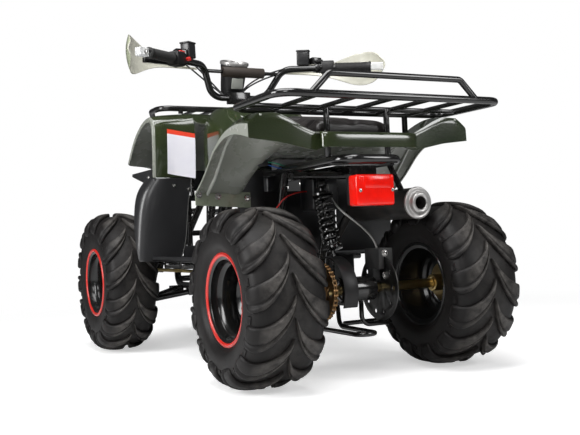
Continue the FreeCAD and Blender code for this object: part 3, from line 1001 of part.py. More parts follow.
pipeRun = [Vector(-s.pipeSpread, port.y + 2 * s.pipeTurn, s.pipeHeight), Vector(-s.pipeSpread, engineY, s.pipeHeight),
           Vector(-s.pipeSpread, rearPlace - s.pipeRiseAhead, s.pipeRiseHeight)]
pipe = tube([port, port - Vector(0, 0, s.pipeTurn)] + pipeRun + [mufflerStart], s.pipeDiameter, s.pipeBend)

# silencer: turned can with a cone at its front, a stepped end cap and a hollow tip
mufflerRadius = "Sizes.mufflerDiameter / 2"
capRadius = mufflerRadius + " - Sizes.mufflerCapStep"
tipOuter, tipInner = "Sizes.tipRingDiameter / 2", "Sizes.tipDiameter / 2"
muffler = turned("muffler", [
    ("0", "0"), ("0", "Sizes.pipeDiameter / 2"), ("Sizes.mufflerCone", mufflerRadius),
    ("Sizes.mufflerLength - Sizes.mufflerCapStep", mufflerRadius), ("Sizes.mufflerLength", capRadius),
    ("Sizes.mufflerLength", tipOuter), ("Sizes.mufflerLength + Sizes.tipReach", tipOuter),
    ("Sizes.mufflerLength + Sizes.tipReach", tipInner), ("Sizes.mufflerLength - Sizes.tipDepth", tipInner),
    ("Sizes.mufflerLength - Sizes.tipDepth", "0")], mufflerStart, Rotation(Vector(0, 0, 1), 90))
doc.recompute()
feature("exhaust_pipe", largest(pipe.cut(rod(mufflerStart, mufflerEnd, s.mufflerDiameter))))

# tail lamp: housing with a lens that narrows to its face and a groove that parts its two windows
lampHalf = s.lampWidth / 2
lampGap = s.lampTaper
lampShape = loft([(place, [(-lampHalf + t, s.lampFloor + t), (lampHalf - t, s.lampFloor + t),
                           (lampHalf - 2 * t, s.lampFloor + s.lampHeight - t),
                           (-lampHalf + 2 * t, s.lampFloor + s.lampHeight - t)])
                  for place, t in ((lampY, 0), (lampEnd - 3 * lampGap, 0), (lampEnd, lampGap))], "Y")
grooveX = -lampHalf / 2
lampShape = lampShape.cut(Part.makeBox(s.lampGroove, s.lampGroove + s.overrun, s.lampHeight,
                                       Vector(grooveX, lampEnd - s.lampGroove, s.lampFloor)))
feature("tail_lamp", lampShape)

# handlebar, grips, levers, guards and instruments
footY = stemTop.y
barPoints = [Vector(s.barEndSpread, footY + s.barEndBehind, s.barEndHeight),
             Vector(s.barRiseSpread, footY + s.barRiseBehind, s.barTopHeight),
             Vector(s.barFootSpread + s.barFootRun, footY, s.stemTopHeight)]
barPath = barPoints + [Vector(-p.x, p.y, p.z) for p in barPoints[::-1]]
brace = Vector(s.barRiseSpread - s.barBraceInset, footY + s.barRiseBehind - s.barBraceAhead,
               s.barTopHeight - s.barBraceDrop)
handlebar = fuse([tube(barPath, s.barDiameter, s.barBend),
                  rod(Vector(-brace.x, brace.y, brace.z), brace, s.slatDiameter)])
feature("handlebar", handlebar)
feature("bar_pad", rod(Vector(-s.padSpan / 2, brace.y, brace.z), Vector(s.padSpan / 2, brace.y, brace.z),
                       s.padDiameter).cut(handlebar))
gripLine = (barPoints[0] - barPoints[1]).normalize()
gripStart = barPoints[0] - gripLine * s.gripLength
grip = rod(gripStart, barPoints[0] + gripLine * s.gripCap, s.gripDiameter).cut(handlebar)
feature("grips", pair(grip))
switchEnd = gripStart - gripLine * s.switchGap
switchStart = switchEnd - gripLine * s.switchLength
switch = bar(switchStart, switchEnd, s.switchSize, s.switchSize, Vector(0, 1, 0)).common(
    rod(switchStart, switchEnd, s.switchSize * 1.25)).cut(handlebar)
feature("switch_boxes", pair(switch))
perch = switchStart - gripLine * s.perchGap
leverRoot = perch - Vector(0, s.leverReach, 0)
leverTip = barPoints[0] - gripLine * s.leverEnd - Vector(0, s.leverSweep, s.leverDrop)
leverKnee = leverRoot + (leverTip - leverRoot) * 0.3 - Vector(0, s.leverWall, 0)
tankFoot = perch + Vector(-s.tankLength / 2, -s.leverReach, s.gripDiameter / 2)
lever = fuse([bar(leverRoot, leverKnee, s.leverWall, s.leverWidth, Vector(0, 1, 0)),
              bar(leverKnee, leverTip, s.leverWall, s.leverWidth, Vector(0, 1, 0)),
              rod(leverTip - Vector(0, 0, s.leverWidth / 2), leverTip + Vector(0, 0, s.leverWidth / 2), s.leverWidth),
              rod(leverKnee - Vector(0, 0, s.leverWidth / 2), leverKnee + Vector(0, 0, s.leverWidth / 2), s.leverWall),
              rod(perch - gripLine * s.leverWall, perch + gripLine * s.leverWall, s.gripDiameter),
              rod(perch, leverRoot, s.slatDiameter),
              rod(perch, perch + Vector(0, -s.leverReach / 2, s.gripDiameter / 2 + s.leverWall), s.slatDiameter),
              Part.makeBox(s.tankLength, s.tankWidth, s.tankHeight, tankFoot)])
feature("hand_levers", pair(largest(lever.cut(handlebar).cut(switch))))

# handguards: a shield swept round the front of each grip, cut to its outline, on a lug at the bar's end
guardPlanShares = [(0.0, 0.0), (0.284, 0.065), (0.603, 0.247), (0.90, 0.54), (1.0, 1.0)]
guardFaceShares = [(-0.02, 0.20), (0.10, 0.72), (0.34, 0.98), (0.68, 1.0), (0.90, 0.86), (1.02, 0.62), (1.02, 0.30),
                   (0.86, 0.08), (0.40, 0.0), (0.08, 0.02)]
guardSize = (s.handguardReach - s.handguardInner, s.handguardDepth)
guardLine = scaled(guardPlanShares, (s.handguardInner, footY), guardSize)
guardSheet = prism(guardLine + inset(guardLine, -w)[::-1], "Z", s.handguardFloor, s.handguardFloor + s.handguardHeight)
guardFace = prism(scaled(guardFaceShares, (s.handguardInner, s.handguardFloor), (guardSize[0], s.handguardHeight)),
                  "Y", footY - s.handguardDepth, footY + 2 * s.handguardDepth)
lugEnd = Vector(s.handguardReach - w / 4, barPoints[0].y - s.freeGap, s.barEndHeight)
guardLug = bar(barPoints[0] + gripLine * (w + s.runningFit), lugEnd, s.slatDiameter, w, Vector(0, 0, 1))
feature("handguards", pair(largest(fuse([guardSheet.common(guardFace), guardLug]).cut(grip))))

# gauge: turned pod with a bezel round its glass, on a stalk from the clamp
gaugeFoot = Vector(0, footY - s.pitmanWidth / 2, s.stemTopHeight)
gaugePlace = Vector(0, footY - s.gaugeAhead, s.gaugeHeight)
gaugeLine = Rotation(Vector(1, 0, 0), -s.gaugeTilt).multVec(Vector(0, 0, 1))
podFoot = Part.makeCone(s.gaugeFoot, s.gaugeDiameter / 2, s.gaugeDepth - s.gaugeRim, gaugePlace, gaugeLine)
bezelPlace = gaugePlace + gaugeLine * (s.gaugeDepth - s.gaugeRim)
bezel = Part.makeCylinder(s.gaugeDiameter / 2, s.gaugeRim, bezelPlace, gaugeLine)
glassSpace = Part.makeCylinder(s.gaugeDiameter / 2 - s.gaugeRim, s.gaugeRim, bezelPlace + gaugeLine * (s.gaugeRim / 2),
                               gaugeLine)
stalk = bar(gaugeFoot, gaugePlace + gaugeLine * s.leverWall, s.slatDiameter, s.pitmanWidth)
feature("gauge", largest(fuse([podFoot, bezel, stalk]).cut(glassSpace).cut(stem).cut(handlebar)))

doc.recompute()
for item in doc.Objects:
    if "Invalid" in item.State or "Error" in item.State:
        raise RuntimeError(item.Name + " did not rebuild")
for item in nodes:
    shape = item.Shape
    if shape.isNull() or not shape.isValid():
        raise RuntimeError(item.Label + " has no valid solid")
for item in nodes:
    item.Shape.exportStep("parts/" + item.Label + ".step")
    print(item.Label, round(item.Shape.Volume / 1000), "cm3", len(item.Shape.Faces), "faces")
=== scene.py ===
import json
import math

import bpy
from mathutils import Matrix, Vector


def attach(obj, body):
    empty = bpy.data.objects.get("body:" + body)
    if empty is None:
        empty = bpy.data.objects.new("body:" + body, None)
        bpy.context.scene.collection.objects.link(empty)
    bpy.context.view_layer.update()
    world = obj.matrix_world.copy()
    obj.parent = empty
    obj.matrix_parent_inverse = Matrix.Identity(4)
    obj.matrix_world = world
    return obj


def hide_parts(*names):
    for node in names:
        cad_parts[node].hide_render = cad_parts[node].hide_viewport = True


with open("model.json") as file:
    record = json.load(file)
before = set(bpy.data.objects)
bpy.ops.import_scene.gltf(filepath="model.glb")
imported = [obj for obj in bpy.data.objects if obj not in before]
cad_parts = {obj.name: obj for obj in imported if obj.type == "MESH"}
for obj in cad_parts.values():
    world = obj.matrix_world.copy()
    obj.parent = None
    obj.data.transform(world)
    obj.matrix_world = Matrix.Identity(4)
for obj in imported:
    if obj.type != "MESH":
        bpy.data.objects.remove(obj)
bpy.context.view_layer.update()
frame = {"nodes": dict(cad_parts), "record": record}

bodyOf = {node: body for body, nodes in frame["record"]["behaviour"]["bodies"].items() for node in nodes}
slotOf = {row["node"]: row["material_slot"] for row in frame["record"]["subparts"]}


# small tools for modelling
def deselect():
    if bpy.context.object and bpy.context.object.mode == "EDIT":
        bpy.ops.object.mode_set(mode="OBJECT")
    bpy.ops.object.select_all(action="DESELECT")


def choose(piece):
    deselect()
    piece.select_set(True)
    bpy.context.view_layer.objects.active = piece


def applyAll(piece):
    choose(piece)
    for modifier in list(piece.modifiers):
        bpy.ops.object.modifier_apply(modifier=modifier.name)
    return piece


def settle(piece):
    # place, turn and size go into the mesh
    choose(piece)
    bpy.ops.object.transform_apply(location=True, rotation=True, scale=True)
    return piece


def outward(piece):
    choose(piece)
    bpy.ops.object.mode_set(mode="EDIT")
    bpy.ops.mesh.select_all(action="SELECT")
    bpy.ops.mesh.remove_doubles(threshold=0.00005)
    bpy.ops.mesh.normals_make_consistent(inside=False)
    bpy.ops.object.mode_set(mode="OBJECT")
    return piece


def bevel(piece, width, segments=2, angle=35):
    modifier = piece.modifiers.new("edges", "BEVEL")
    modifier.width = width
    modifier.segments = segments
    modifier.limit_method = "ANGLE"
    modifier.angle_limit = math.radians(angle)
    modifier.harden_normals = False
    return applyAll(piece)


def smooth(piece, angle=35):
    choose(piece)
    bpy.ops.object.shade_smooth_by_angle(angle=math.radians(angle))
    return piece


def subdivide(piece, levels):
    modifier = piece.modifiers.new("round", "SUBSURF")
    modifier.levels = levels
    modifier.render_levels = levels
    return applyAll(piece)


def joined(name, pieces):
    deselect()
    for piece in pieces:
        piece.select_set(True)
    bpy.context.view_layer.objects.active = pieces[0]
    if len(pieces) > 1:
        bpy.ops.object.join()
    whole = bpy.context.view_layer.objects.active
    whole.name = name
    return settle(whole)


def cylinder(start, end, radius, sides=24, tip=None):
    along = Vector(end) - Vector(start)
    deselect()
    bpy.ops.mesh.primitive_cone_add(vertices=sides, radius1=radius, radius2=radius if tip is None else tip,
                                    depth=along.length, location=(Vector(start) + Vector(end)) / 2)
    piece = bpy.context.object
    piece.rotation_mode = "QUATERNION"
    piece.rotation_quaternion = along.to_track_quat("Z", "Y")
    return settle(piece)


def block(low, high, round=0.002, segments=2):
    deselect()
    low, high = Vector(low), Vector(high)
    bpy.ops.mesh.primitive_cube_add(size=1, location=(low + high) / 2)
    piece = bpy.context.object
    piece.scale = high - low
    settle(piece)
    return bevel(piece, round, segments)


def tubeAlong(name, points, radius, resolution=8, order=3):
    curve = bpy.data.curves.new(name, "CURVE")
    curve.dimensions = "3D"
    curve.bevel_depth = radius
    curve.bevel_resolution = 3
    curve.resolution_u = resolution
    curve.use_fill_caps = True
    line = curve.splines.new("NURBS")
    line.points.add(len(points) - 1)
    for point, place in zip(line.points, points):
        point.co = (*place, 1)
    line.order_u = order
    line.use_endpoint_u = True
    piece = bpy.data.objects.new(name, curve)
    bpy.context.scene.collection.objects.link(piece)
    choose(piece)
    bpy.ops.object.convert(target="MESH")
    return smooth(bpy.context.object, 60)


def finishPiece(piece, look, body, nodes=()):
    parts = [face.material_index for face in piece.data.polygons]
    piece.data.materials.clear()
    several = isinstance(look, (list, tuple))
    for one in look if several else [look]:
        piece.data.materials.append(one)
    if several:
        piece.data.polygons.foreach_set("material_index", parts)
    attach(piece, body)
    if nodes:
        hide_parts(*nodes)
    return piece


# looks
def nodeSet(name):
    look = bpy.data.materials.new(name)
    look.use_nodes = True
    nodes, links = look.node_tree.nodes, look.node_tree.links
    shader = nodes["Principled BSDF"]
    place = nodes.new("ShaderNodeTexCoord")
    return look, nodes, links, shader, place.outputs["Object"]


def noise(nodes, links, place, scale, detail=4, rough=0.55):
    cloud = nodes.new("ShaderNodeTexNoise")
    cloud.inputs["Scale"].default_value = scale
    cloud.inputs["Detail"].default_value = detail
    cloud.inputs["Roughness"].default_value = rough
    links.new(place, cloud.inputs["Vector"])
    return cloud.outputs["Fac"]


def ramp(nodes, links, value, stops):
    band = nodes.new("ShaderNodeValToRGB")
    band.color_ramp.elements[0].position = stops[0][0]
    band.color_ramp.elements[0].color = stops[0][1]
    band.color_ramp.elements[1].position = stops[-1][0]
    band.color_ramp.elements[1].color = stops[-1][1]
    for position, colour in stops[1:-1]:
        element = band.color_ramp.elements.new(position)
        element.color = colour
    links.new(value, band.inputs["Fac"])
    return band.outputs["Color"]


def grey(level):
    return (level, level, level, 1)


def multiplied(nodes, links, first, second):
    both = nodes.new("ShaderNodeMath")
    both.operation = "MULTIPLY"
    links.new(first, both.inputs[0])
    links.new(second, both.inputs[1])
    return both.outputs[0]


def covered(nodes, links, share, below, above):
    # one colour laid over another by a share
    mix = nodes.new("ShaderNodeMix")
    mix.data_type = "RGBA"
    links.new(share, mix.inputs["Factor"])
    links.new(below, mix.inputs["A"])
    mix.inputs["B"].default_value = (*above, 1)
    return mix.outputs["Result"]


def unevenGloss(nodes, links, shader, cloud, rough):
    gloss = nodes.new("ShaderNodeMapRange")
    gloss.inputs["To Min"].default_value = rough[0]
    gloss.inputs["To Max"].default_value = rough[1]
    links.new(cloud, gloss.inputs["Value"])
    links.new(gloss.outputs["Result"], shader.inputs["Roughness"])


def relief(nodes, links, shader, height, strength, distance):
    bump = nodes.new("ShaderNodeBump")
    bump.inputs["Strength"].default_value = strength
    bump.inputs["Distance"].default_value = distance
    links.new(height, bump.inputs["Height"])
    links.new(bump.outputs["Normal"], shader.inputs["Normal"])


def vectorNode(nodes, links, operation, value, other=None):
    node = nodes.new("ShaderNodeVectorMath")
    node.operation = operation
    links.new(value, node.inputs[0])
    if other:
        node.inputs[1].default_value = other
    return node


def paint(name, colour, other, rough=(0.25, 0.4), metal=0.0, cloudScale=6, grainScale=300, grain=0.05,
          coat=0.0, specular=0.5, edge=None):
    # two tones in slow clouds, uneven gloss and a fine grain
    look, nodes, links, shader, place = nodeSet(name)
    slow = noise(nodes, links, place, cloudScale, 6)
    tones = ramp(nodes, links, slow, [(0.35, (*colour, 1)), (0.65, (*other, 1))])
    if edge:
        # small chips along the sharp edges
        worn = nodes.new("ShaderNodeNewGeometry").outputs["Pointiness"]
        spread = ramp(nodes, links, worn, [(0.51, grey(0)), (0.58, grey(1))])
        chips = ramp(nodes, links, noise(nodes, links, place, 60, 8, 0.7), [(0.5, grey(0)), (0.62, grey(1))])
        tones = covered(nodes, links, multiplied(nodes, links, spread, chips), tones, edge)
    links.new(tones, shader.inputs["Base Color"])
    unevenGloss(nodes, links, shader, noise(nodes, links, place, cloudScale * 4, 5), rough)
    shader.inputs["Metallic"].default_value = metal
    shader.inputs["Specular IOR Level"].default_value = specular
    shader.inputs["Coat Weight"].default_value = coat
    shader.inputs["Coat Roughness"].default_value = 0.08
    relief(nodes, links, shader, noise(nodes, links, place, grainScale, 3), grain, 0.001)
    return look


def grained(name, colour, other, cell=260, depth=0.35, rough=(0.45, 0.6)):
    # vinyl or rubber with a pebbled grain
    look, nodes, links, shader, place = nodeSet(name)
    tones = ramp(nodes, links, noise(nodes, links, place, 9, 6), [(0.3, (*colour, 1)), (0.7, (*other, 1))])
    links.new(tones, shader.inputs["Base Color"])
    pebbles = nodes.new("ShaderNodeTexVoronoi")
    pebbles.inputs["Scale"].default_value = cell
    links.new(place, pebbles.inputs["Vector"])
    unevenGloss(nodes, links, shader, noise(nodes, links, place, 30, 6), rough)
    relief(nodes, links, shader, pebbles.outputs["Distance"], depth, 0.0006)
    return look


dusty = {"from": 0.018, "full": 0.002, "cell": 420, "depth": 0.22, "rough": (0.42, 0.60), "sheen": 0.24,
         "patches": [(0.35, grey(0.1)), (0.7, grey(1))]}


def rubber(name, axle, crown, colour, other, worn):
    # black rubber, dusty where the bars stand highest above the axle
    look = grained(name, colour, other, dusty["cell"], dusty["depth"], dusty["rough"])
    nodes, links = look.node_tree.nodes, look.node_tree.links
    shader = nodes["Principled BSDF"]
    place = next(node for node in nodes if node.type == "TEX_COORD").outputs["Object"]
    offset = vectorNode(nodes, links, "SUBTRACT", place, (0, *axle))
    flat = vectorNode(nodes, links, "MULTIPLY", offset.outputs["Vector"], (0, 1, 1))
    radius = vectorNode(nodes, links, "LENGTH", flat.outputs["Vector"])
    high = nodes.new("ShaderNodeMapRange")
    high.inputs["From Min"].default_value = crown - dusty["from"]
    high.inputs["From Max"].default_value = crown - dusty["full"]
    links.new(radius.outputs["Value"], high.inputs["Value"])
    patches = ramp(nodes, links, noise(nodes, links, place, 34, 8, 0.7), dusty["patches"])
    share = multiplied(nodes, links, high.outputs["Result"], patches)
    below = shader.inputs["Base Color"].links[0].from_socket
    links.new(covered(nodes, links, share, below, worn), shader.inputs["Base Color"])
    shader.inputs["Specular IOR Level"].default_value = dusty["sheen"]
    return look


def lens(name, colour, ribScale=320, transmission=0.35, glow=None):
    # moulded lens with a pattern of small prisms
    look, nodes, links, shader, place = nodeSet(name)
    tones = ramp(nodes, links, noise(nodes, links, place, 14, 3),
                 [(0.3, (*colour, 1)), (0.75, (*[min(1, c * 1.5) for c in colour], 1))])
    links.new(tones, shader.inputs["Base Color"])
    shader.inputs["Roughness"].default_value = 0.12
    shader.inputs["Transmission Weight"].default_value = transmission
    shader.inputs["Coat Weight"].default_value = 0.3
    # with glow, the lens glows faintly: painted light that brightens its colour
    if glow:
        shader.inputs["Emission Color"].default_value = (*glow, 1)
        shader.inputs["Emission Strength"].default_value = 0.13
    ribs = nodes.new("ShaderNodeTexWave")
    ribs.inputs["Scale"].default_value = ribScale / 6
    ribs.bands_direction = "X"
    links.new(place, ribs.inputs["Vector"])
    relief(nodes, links, shader, ribs.outputs["Fac"], 0.25, 0.0008)
    return look


tyreTones = ((0.0035, 0.0030, 0.0030), (0.0085, 0.0072, 0.0070), (0.105, 0.097, 0.090))
looks = {
    "tyreRear": rubber("tyreRear", (0.530, 0.2285), 0.2285, *tyreTones),
    "tyreFront": rubber("tyreFront", (-0.480, 0.2415), 0.2415, *tyreTones),
    "rim": paint("rimBlack", (0.004, 0.004, 0.004), (0.008, 0.008, 0.008), (0.16, 0.28), coat=0.25,
                 specular=0.35),
    "redRing": paint("redRing", (0.62, 0.020, 0.012), (0.48, 0.014, 0.008), (0.25, 0.4), coat=0.4),
    "gold": paint("zincGold", (0.62, 0.46, 0.20), (0.46, 0.36, 0.18), (0.22, 0.42), 1.0, 14, 500, 0.05),
    "steel": paint("bareSteel", (0.10, 0.10, 0.10), (0.055, 0.053, 0.05), (0.28, 0.45), 1.0, 12, 420, 0.08),
    "chainSteel": paint("oiledChain", (0.30, 0.17, 0.07), (0.16, 0.10, 0.05), (0.3, 0.5), 0.9, 40, 300, 0.1),
    "bolt": paint("boltSteel", (0.72, 0.71, 0.69), (0.55, 0.54, 0.52), (0.15, 0.3), 1.0, 30, 500, 0.04),
    "black": paint("blackPaint", (0.005, 0.005, 0.005), (0.010, 0.0095, 0.0095), (0.12, 0.22), 0.0, 5, 160,
                   0.03, coat=0.5, specular=0.4, edge=(0.030, 0.028, 0.026)),
    "plastic": paint("blackPlastic", (0.006, 0.006, 0.0065), (0.012, 0.0115, 0.012), (0.34, 0.48), 0.0, 7,
                     700, 0.12, specular=0.32),
    "green": paint("greenPlastic", (0.016, 0.024, 0.010), (0.030, 0.040, 0.014), (0.10, 0.2), 0.0, 3, 90,
                   0.02, coat=0.8),
    "bareGreenWithLipHighlight": paint("bareGreenWithLipHighlight", (0.20, 0.21, 0.18), (0.27, 0.28, 0.25), (0.2, 0.34), 0.0, 4, 200, 0.03,
                        coat=0.4),
    "olive": paint("olivePlastic", (0.34, 0.36, 0.26), (0.27, 0.30, 0.20), (0.15, 0.25), 0.0, 6, 160, 0.02,
                   coat=0.7),
    "seat": grained("seatVinyl", (0.012, 0.010, 0.010), (0.022, 0.019, 0.018), 520, 0.3, (0.28, 0.42)),
    "step": paint("stepGrey", (0.24, 0.24, 0.25), (0.32, 0.32, 0.33), (0.5, 0.65), 0.0, 20, 500, 0.2),
    "darkAlloy": paint("darkAlloy", (0.025, 0.025, 0.026), (0.045, 0.044, 0.043), (0.35, 0.55), 0.4, 18, 600,
                       0.3),
    "exhaust": paint("exhaustBlack", (0.02, 0.02, 0.02), (0.045, 0.038, 0.034), (0.35, 0.5), 0.4, 20, 400,
                     0.1),
    "chrome": paint("chrome", (0.52, 0.51, 0.50), (0.42, 0.41, 0.40), (0.30, 0.40), 0.75, 10, 200, 0.002),
    "gaugeGlass": paint("gaugeGlass", (0.055, 0.058, 0.060), (0.085, 0.088, 0.090), (0.10, 0.16), 0.0, 12,
                        200, 0.002, coat=0.6),
    "grip": grained("gripRubber", (0.005, 0.005, 0.005), (0.011, 0.0105, 0.010), 380, 0.3, (0.5, 0.7)),
    "foam": grained("padFoam", (0.024, 0.017, 0.013), (0.042, 0.030, 0.022), 600, 0.4, (0.55, 0.75)),
    # the red lens glows faintly: painted light that brightens its red
    "lampRed": lens("lampRed", (0.66, 0.006, 0.002), 320, 0.0, (0.9, 0.006, 0.002)),
    "lampClear": lens("lampClear", (0.75, 0.78, 0.80), 200, 0.6),
    "red": paint("redButton", (0.75, 0.03, 0.02), (0.6, 0.02, 0.015), (0.25, 0.35), coat=0.4),
    "label": paint("blankLabel", (0.70, 0.69, 0.76), (0.76, 0.75, 0.80), (0.3, 0.42), 0.0, 12, 400, 0.02),
    "labelRed": paint("labelBand", (0.80, 0.06, 0.02), (0.72, 0.05, 0.02), (0.3, 0.42), 0.0, 12, 400, 0.02),
    "wireBlue": paint("wireBlue", (0.02, 0.10, 0.45), (0.03, 0.14, 0.55), (0.35, 0.5)),
    "wireGreen": paint("wireGreen", (0.02, 0.28, 0.16), (0.03, 0.35, 0.2), (0.35, 0.5)),
    "wireRed": paint("wireRed", (0.55, 0.02, 0.02), (0.65, 0.03, 0.02), (0.35, 0.5)),
    "innerPale": paint("ribPale", (0.40, 0.42, 0.38), (0.50, 0.51, 0.47), (0.25, 0.38), 0.0, 10, 200, 0.02,
                       coat=0.3),
    "oliveFlange": paint("oliveFlange", (0.19, 0.215, 0.155), (0.24, 0.265, 0.20), (0.22, 0.34), 0.0, 9, 200,
                         0.03, coat=0.5),
    "oliveInner": paint("oliveInner", (0.60, 0.59, 0.49), (0.70, 0.69, 0.60), (0.22, 0.32), 0.0, 7, 200,
                        0.02, coat=0.4),
    "satin": paint("satinPlastic", (0.011, 0.011, 0.012), (0.017, 0.017, 0.018), (0.30, 0.40), 0.0, 5, 500,
                   0.10, coat=0.15),
    "edgeGrey": paint("edgeGrey", (0.20, 0.20, 0.19), (0.28, 0.28, 0.27), (0.3, 0.42), 0.0, 20, 400, 0.03),
    "clearGuard": lens("clearGuard", (0.80, 0.81, 0.82), 160, 0.5),
    "hose": grained("hoseRubber", (0.012, 0.012, 0.012), (0.022, 0.022, 0.022), 700, 0.15, (0.4, 0.55)),
}
# looks of the pieces that keep the construction's own form
lookOfSlot = {
    "zinc_gold": "gold", "brake_steel": "steel", "sprocket_steel": "chainSteel", "black_plastic": "plastic",
    "black_steel": "black", "spring_black": "black", "lamp_clear": "lampClear", "step_grey": "step",
    "engine_alloy": "darkAlloy", "exhaust_black": "exhaust", "pad_foam": "foam", "lever_black": "black",
}
print("looks ready")


# a flat grid moved onto rows of points; a ring of points closes on itself
def skin(name, rows, ring=False, ends=False):
    rows = [list(row) + [row[0]] if ring else list(row) for row in rows]
    high, wide = len(rows), len(rows[0])
    deselect()
    bpy.ops.mesh.primitive_grid_add(x_subdivisions=wide - 1, y_subdivisions=high - 1, size=2)
    piece = bpy.context.object
    piece.name = name
    for vertex in piece.data.vertices:
        column = round((vertex.co.x + 1) / 2 * (wide - 1))
        row = round((vertex.co.y + 1) / 2 * (high - 1))
        vertex.co = rows[row][column]
    if ends:
        bpy.ops.object.mode_set(mode="EDIT")
        bpy.ops.mesh.select_all(action="SELECT")
        bpy.ops.mesh.remove_doubles(threshold=0.00005)
        bpy.ops.mesh.fill_holes(sides=0)
        bpy.ops.object.mode_set(mode="OBJECT")
    return outward(piece) if ring else piece


# an outline turned about a wheel's axle
def spun(name, outline, centre, steps=96, closed=True):
    deselect()
    bpy.ops.mesh.primitive_circle_add(vertices=len(outline), fill_type="NOTHING")
    piece = bpy.context.object
    piece.name = name
    for vertex, (across, radius) in zip(piece.data.vertices, outline):
        vertex.co = (centre[0] + across, centre[1], centre[2] + radius)
    bpy.ops.object.mode_set(mode="EDIT")
    if not closed:
        bpy.ops.mesh.select_all(action="DESELECT")
        bpy.ops.object.mode_set(mode="OBJECT")
        last = len(outline) - 1
        for edge in piece.data.edges:
            edge.select = set(edge.vertices) == {0, last}
        bpy.ops.object.mode_set(mode="EDIT")
        bpy.ops.mesh.select_mode(type="EDGE")
        bpy.ops.mesh.delete(type="EDGE")
        bpy.ops.mesh.select_mode(type="VERT")
    bpy.ops.mesh.select_all(action="SELECT")
    bpy.ops.mesh.spin(steps=steps, angle=2 * math.pi, center=centre, axis=(1, 0, 0))
    bpy.ops.object.mode_set(mode="OBJECT")
    return outward(piece)


def walled(piece, wall, offset=-1.0, inside=0, rim=0):
    modifier = piece.modifiers.new("wall", "SOLIDIFY")
    modifier.thickness = wall
    modifier.offset = offset
    modifier.use_even_offset = True
    modifier.material_offset = inside
    modifier.material_offset_rim = rim
    return applyAll(piece)


def repeated(piece, count, centre, start=0.0):
    # copies of one piece round a wheel's axle, each with its own mesh
    copies = []
    for k in range(count):
        mesh = piece.data.copy()
        turn = Matrix.Rotation(2 * math.pi * (k + start) / count, 4, "X")
        mesh.transform(Matrix.Translation(centre) @ turn @ Matrix.Translation(-Vector(centre)))
        other = bpy.data.objects.new(piece.name, mesh)
        bpy.context.scene.collection.objects.link(other)
        copies.append(other)
    bpy.data.objects.remove(piece)
    return copies


def along(line, share):
    # a point and its direction at a share of a line's length
    lengths = [(Vector(b) - Vector(a)).length for a, b in zip(line, line[1:])]
    left = share * sum(lengths)
    for (a, b), length in zip(zip(line, line[1:]), lengths):
        if left <= length or b is line[-1]:
            return Vector(a) + (Vector(b) - Vector(a)) * (left / length), (Vector(b) - Vector(a)).normalized()
        left -= length


def readLine(points, at):
    # the value that a line of (place, value) points has at a place
    for (a, valueA), (b, valueB) in zip(points, points[1:]):
        if at <= b:
            return valueA + (valueB - valueA) * (at - a) / (b - a)
    return points[-1][1]


# head's taper, edge and washer as shares of its radius; the washer's two faces along the bolt
boltShape = {"taper": 0.88, "edge": 0.08, "washer": 1.5, "washerFrom": 0.0006, "washerTo": 0.0009,
             "washerEdge": 0.0003}


def boltHead(name, place, facing, radius=0.0065, height=0.004, sides=6):
    size = boltShape
    place, facing = Vector(place), Vector(facing).normalized()
    head = cylinder(place, place + facing * height, radius, sides, radius * size["taper"])
    bevel(head, radius * size["edge"])
    low, high = place - facing * size["washerFrom"], place + facing * size["washerTo"]
    washer = cylinder(low, high, radius * size["washer"])
    return smooth(joined(name, [head, bevel(washer, size["washerEdge"], 1)]))


# tyres: round carcass, two rows of curved bars that meet like arrow heads, raised frames on the shoulder
tyreTread = {
    "carcass": [(0.0, 1.0), (0.22, 0.996), (0.44, 0.985), (0.66, 0.955), (0.83, 0.895), (0.94, 0.79),
                (0.99, 0.64), (1.0, 0.49), (0.985, 0.34), (0.945, 0.215)],
    "bead": [(0.0, 0.0155), (-0.0035, 0.0105), (-0.0055, 0.0050), (-0.0060, 0.0)], "shoulder": 7,
    # along each bar: share of the way to the shoulder, swing and half width in pitches, share of the height
    "bar": [(-0.012, 0.16, 0.010, 0.3), (0.010, 0.06, 0.055, 0.95), (0.05, -0.12, 0.105, 1.0),
            (0.12, -0.30, 0.150, 1.0), (0.22, -0.47, 0.200, 1.0), (0.34, -0.63, 0.245, 1.0),
            (0.47, -0.76, 0.290, 0.98), (0.60, -0.85, 0.325, 0.94), (0.72, -0.89, 0.345, 0.86),
            (0.83, -0.885, 0.335, 0.72), (0.91, -0.86, 0.275, 0.45), (0.955, -0.84, 0.16, -0.1)],
    "height": 0.0125, "sunk": 0.0045, "groove": 0.0065,
    # across each bar: share of the half width, level (1 top, 0 groove, 0.4 flank, -1 foot)
    "across": [(-1, -1), (-1, 0.4), (-0.90, 1), (-0.60, 1), (-0.48, 0), (-0.34, 0), (-0.22, 1), (0.15, 1),
               (0.60, 1), (0.90, 1), (1, 0.4), (1, -1)],
    "innerWidth": 0.93, "lining": 0.008, "beadLip": 0.010, "pastMiddle": 0.1,
}
# raised frame on the shoulder between two bars
lugMark = {"share": 0.585, "half": 0.032, "turn": -0.42, "halfTurn": 0.11, "lift": 0.0016, "sunk": -0.001,
           "floor": 0.0001, "steps": (-1.0, -0.92, -0.78, 0.0, 0.78, 0.92, 1.0)}


def tyreLine(half, crown, bead, rimHalf):
    line = [(half * x, 0, bead + (crown - bead) * r) for x, r in tyreTread["carcass"]]
    return line + [(rimHalf - 0.0015 + x, 0, bead + r) for x, r in tyreTread["bead"]]


def onTyre(line, share, row, angle, lift, centre):
    place, way = along(line, max(share, 0))
    out = Vector((-way.z, 0, way.x)).normalized()
    across, radius = place.x + out.x * lift, place.z + out.z * lift
    across += min(share, 0) * tyreTread["pastMiddle"]
    back, up = radius * math.cos(angle), radius * math.sin(angle)
    return (centre[0] + row * across, centre[1] + back, centre[2] + up)


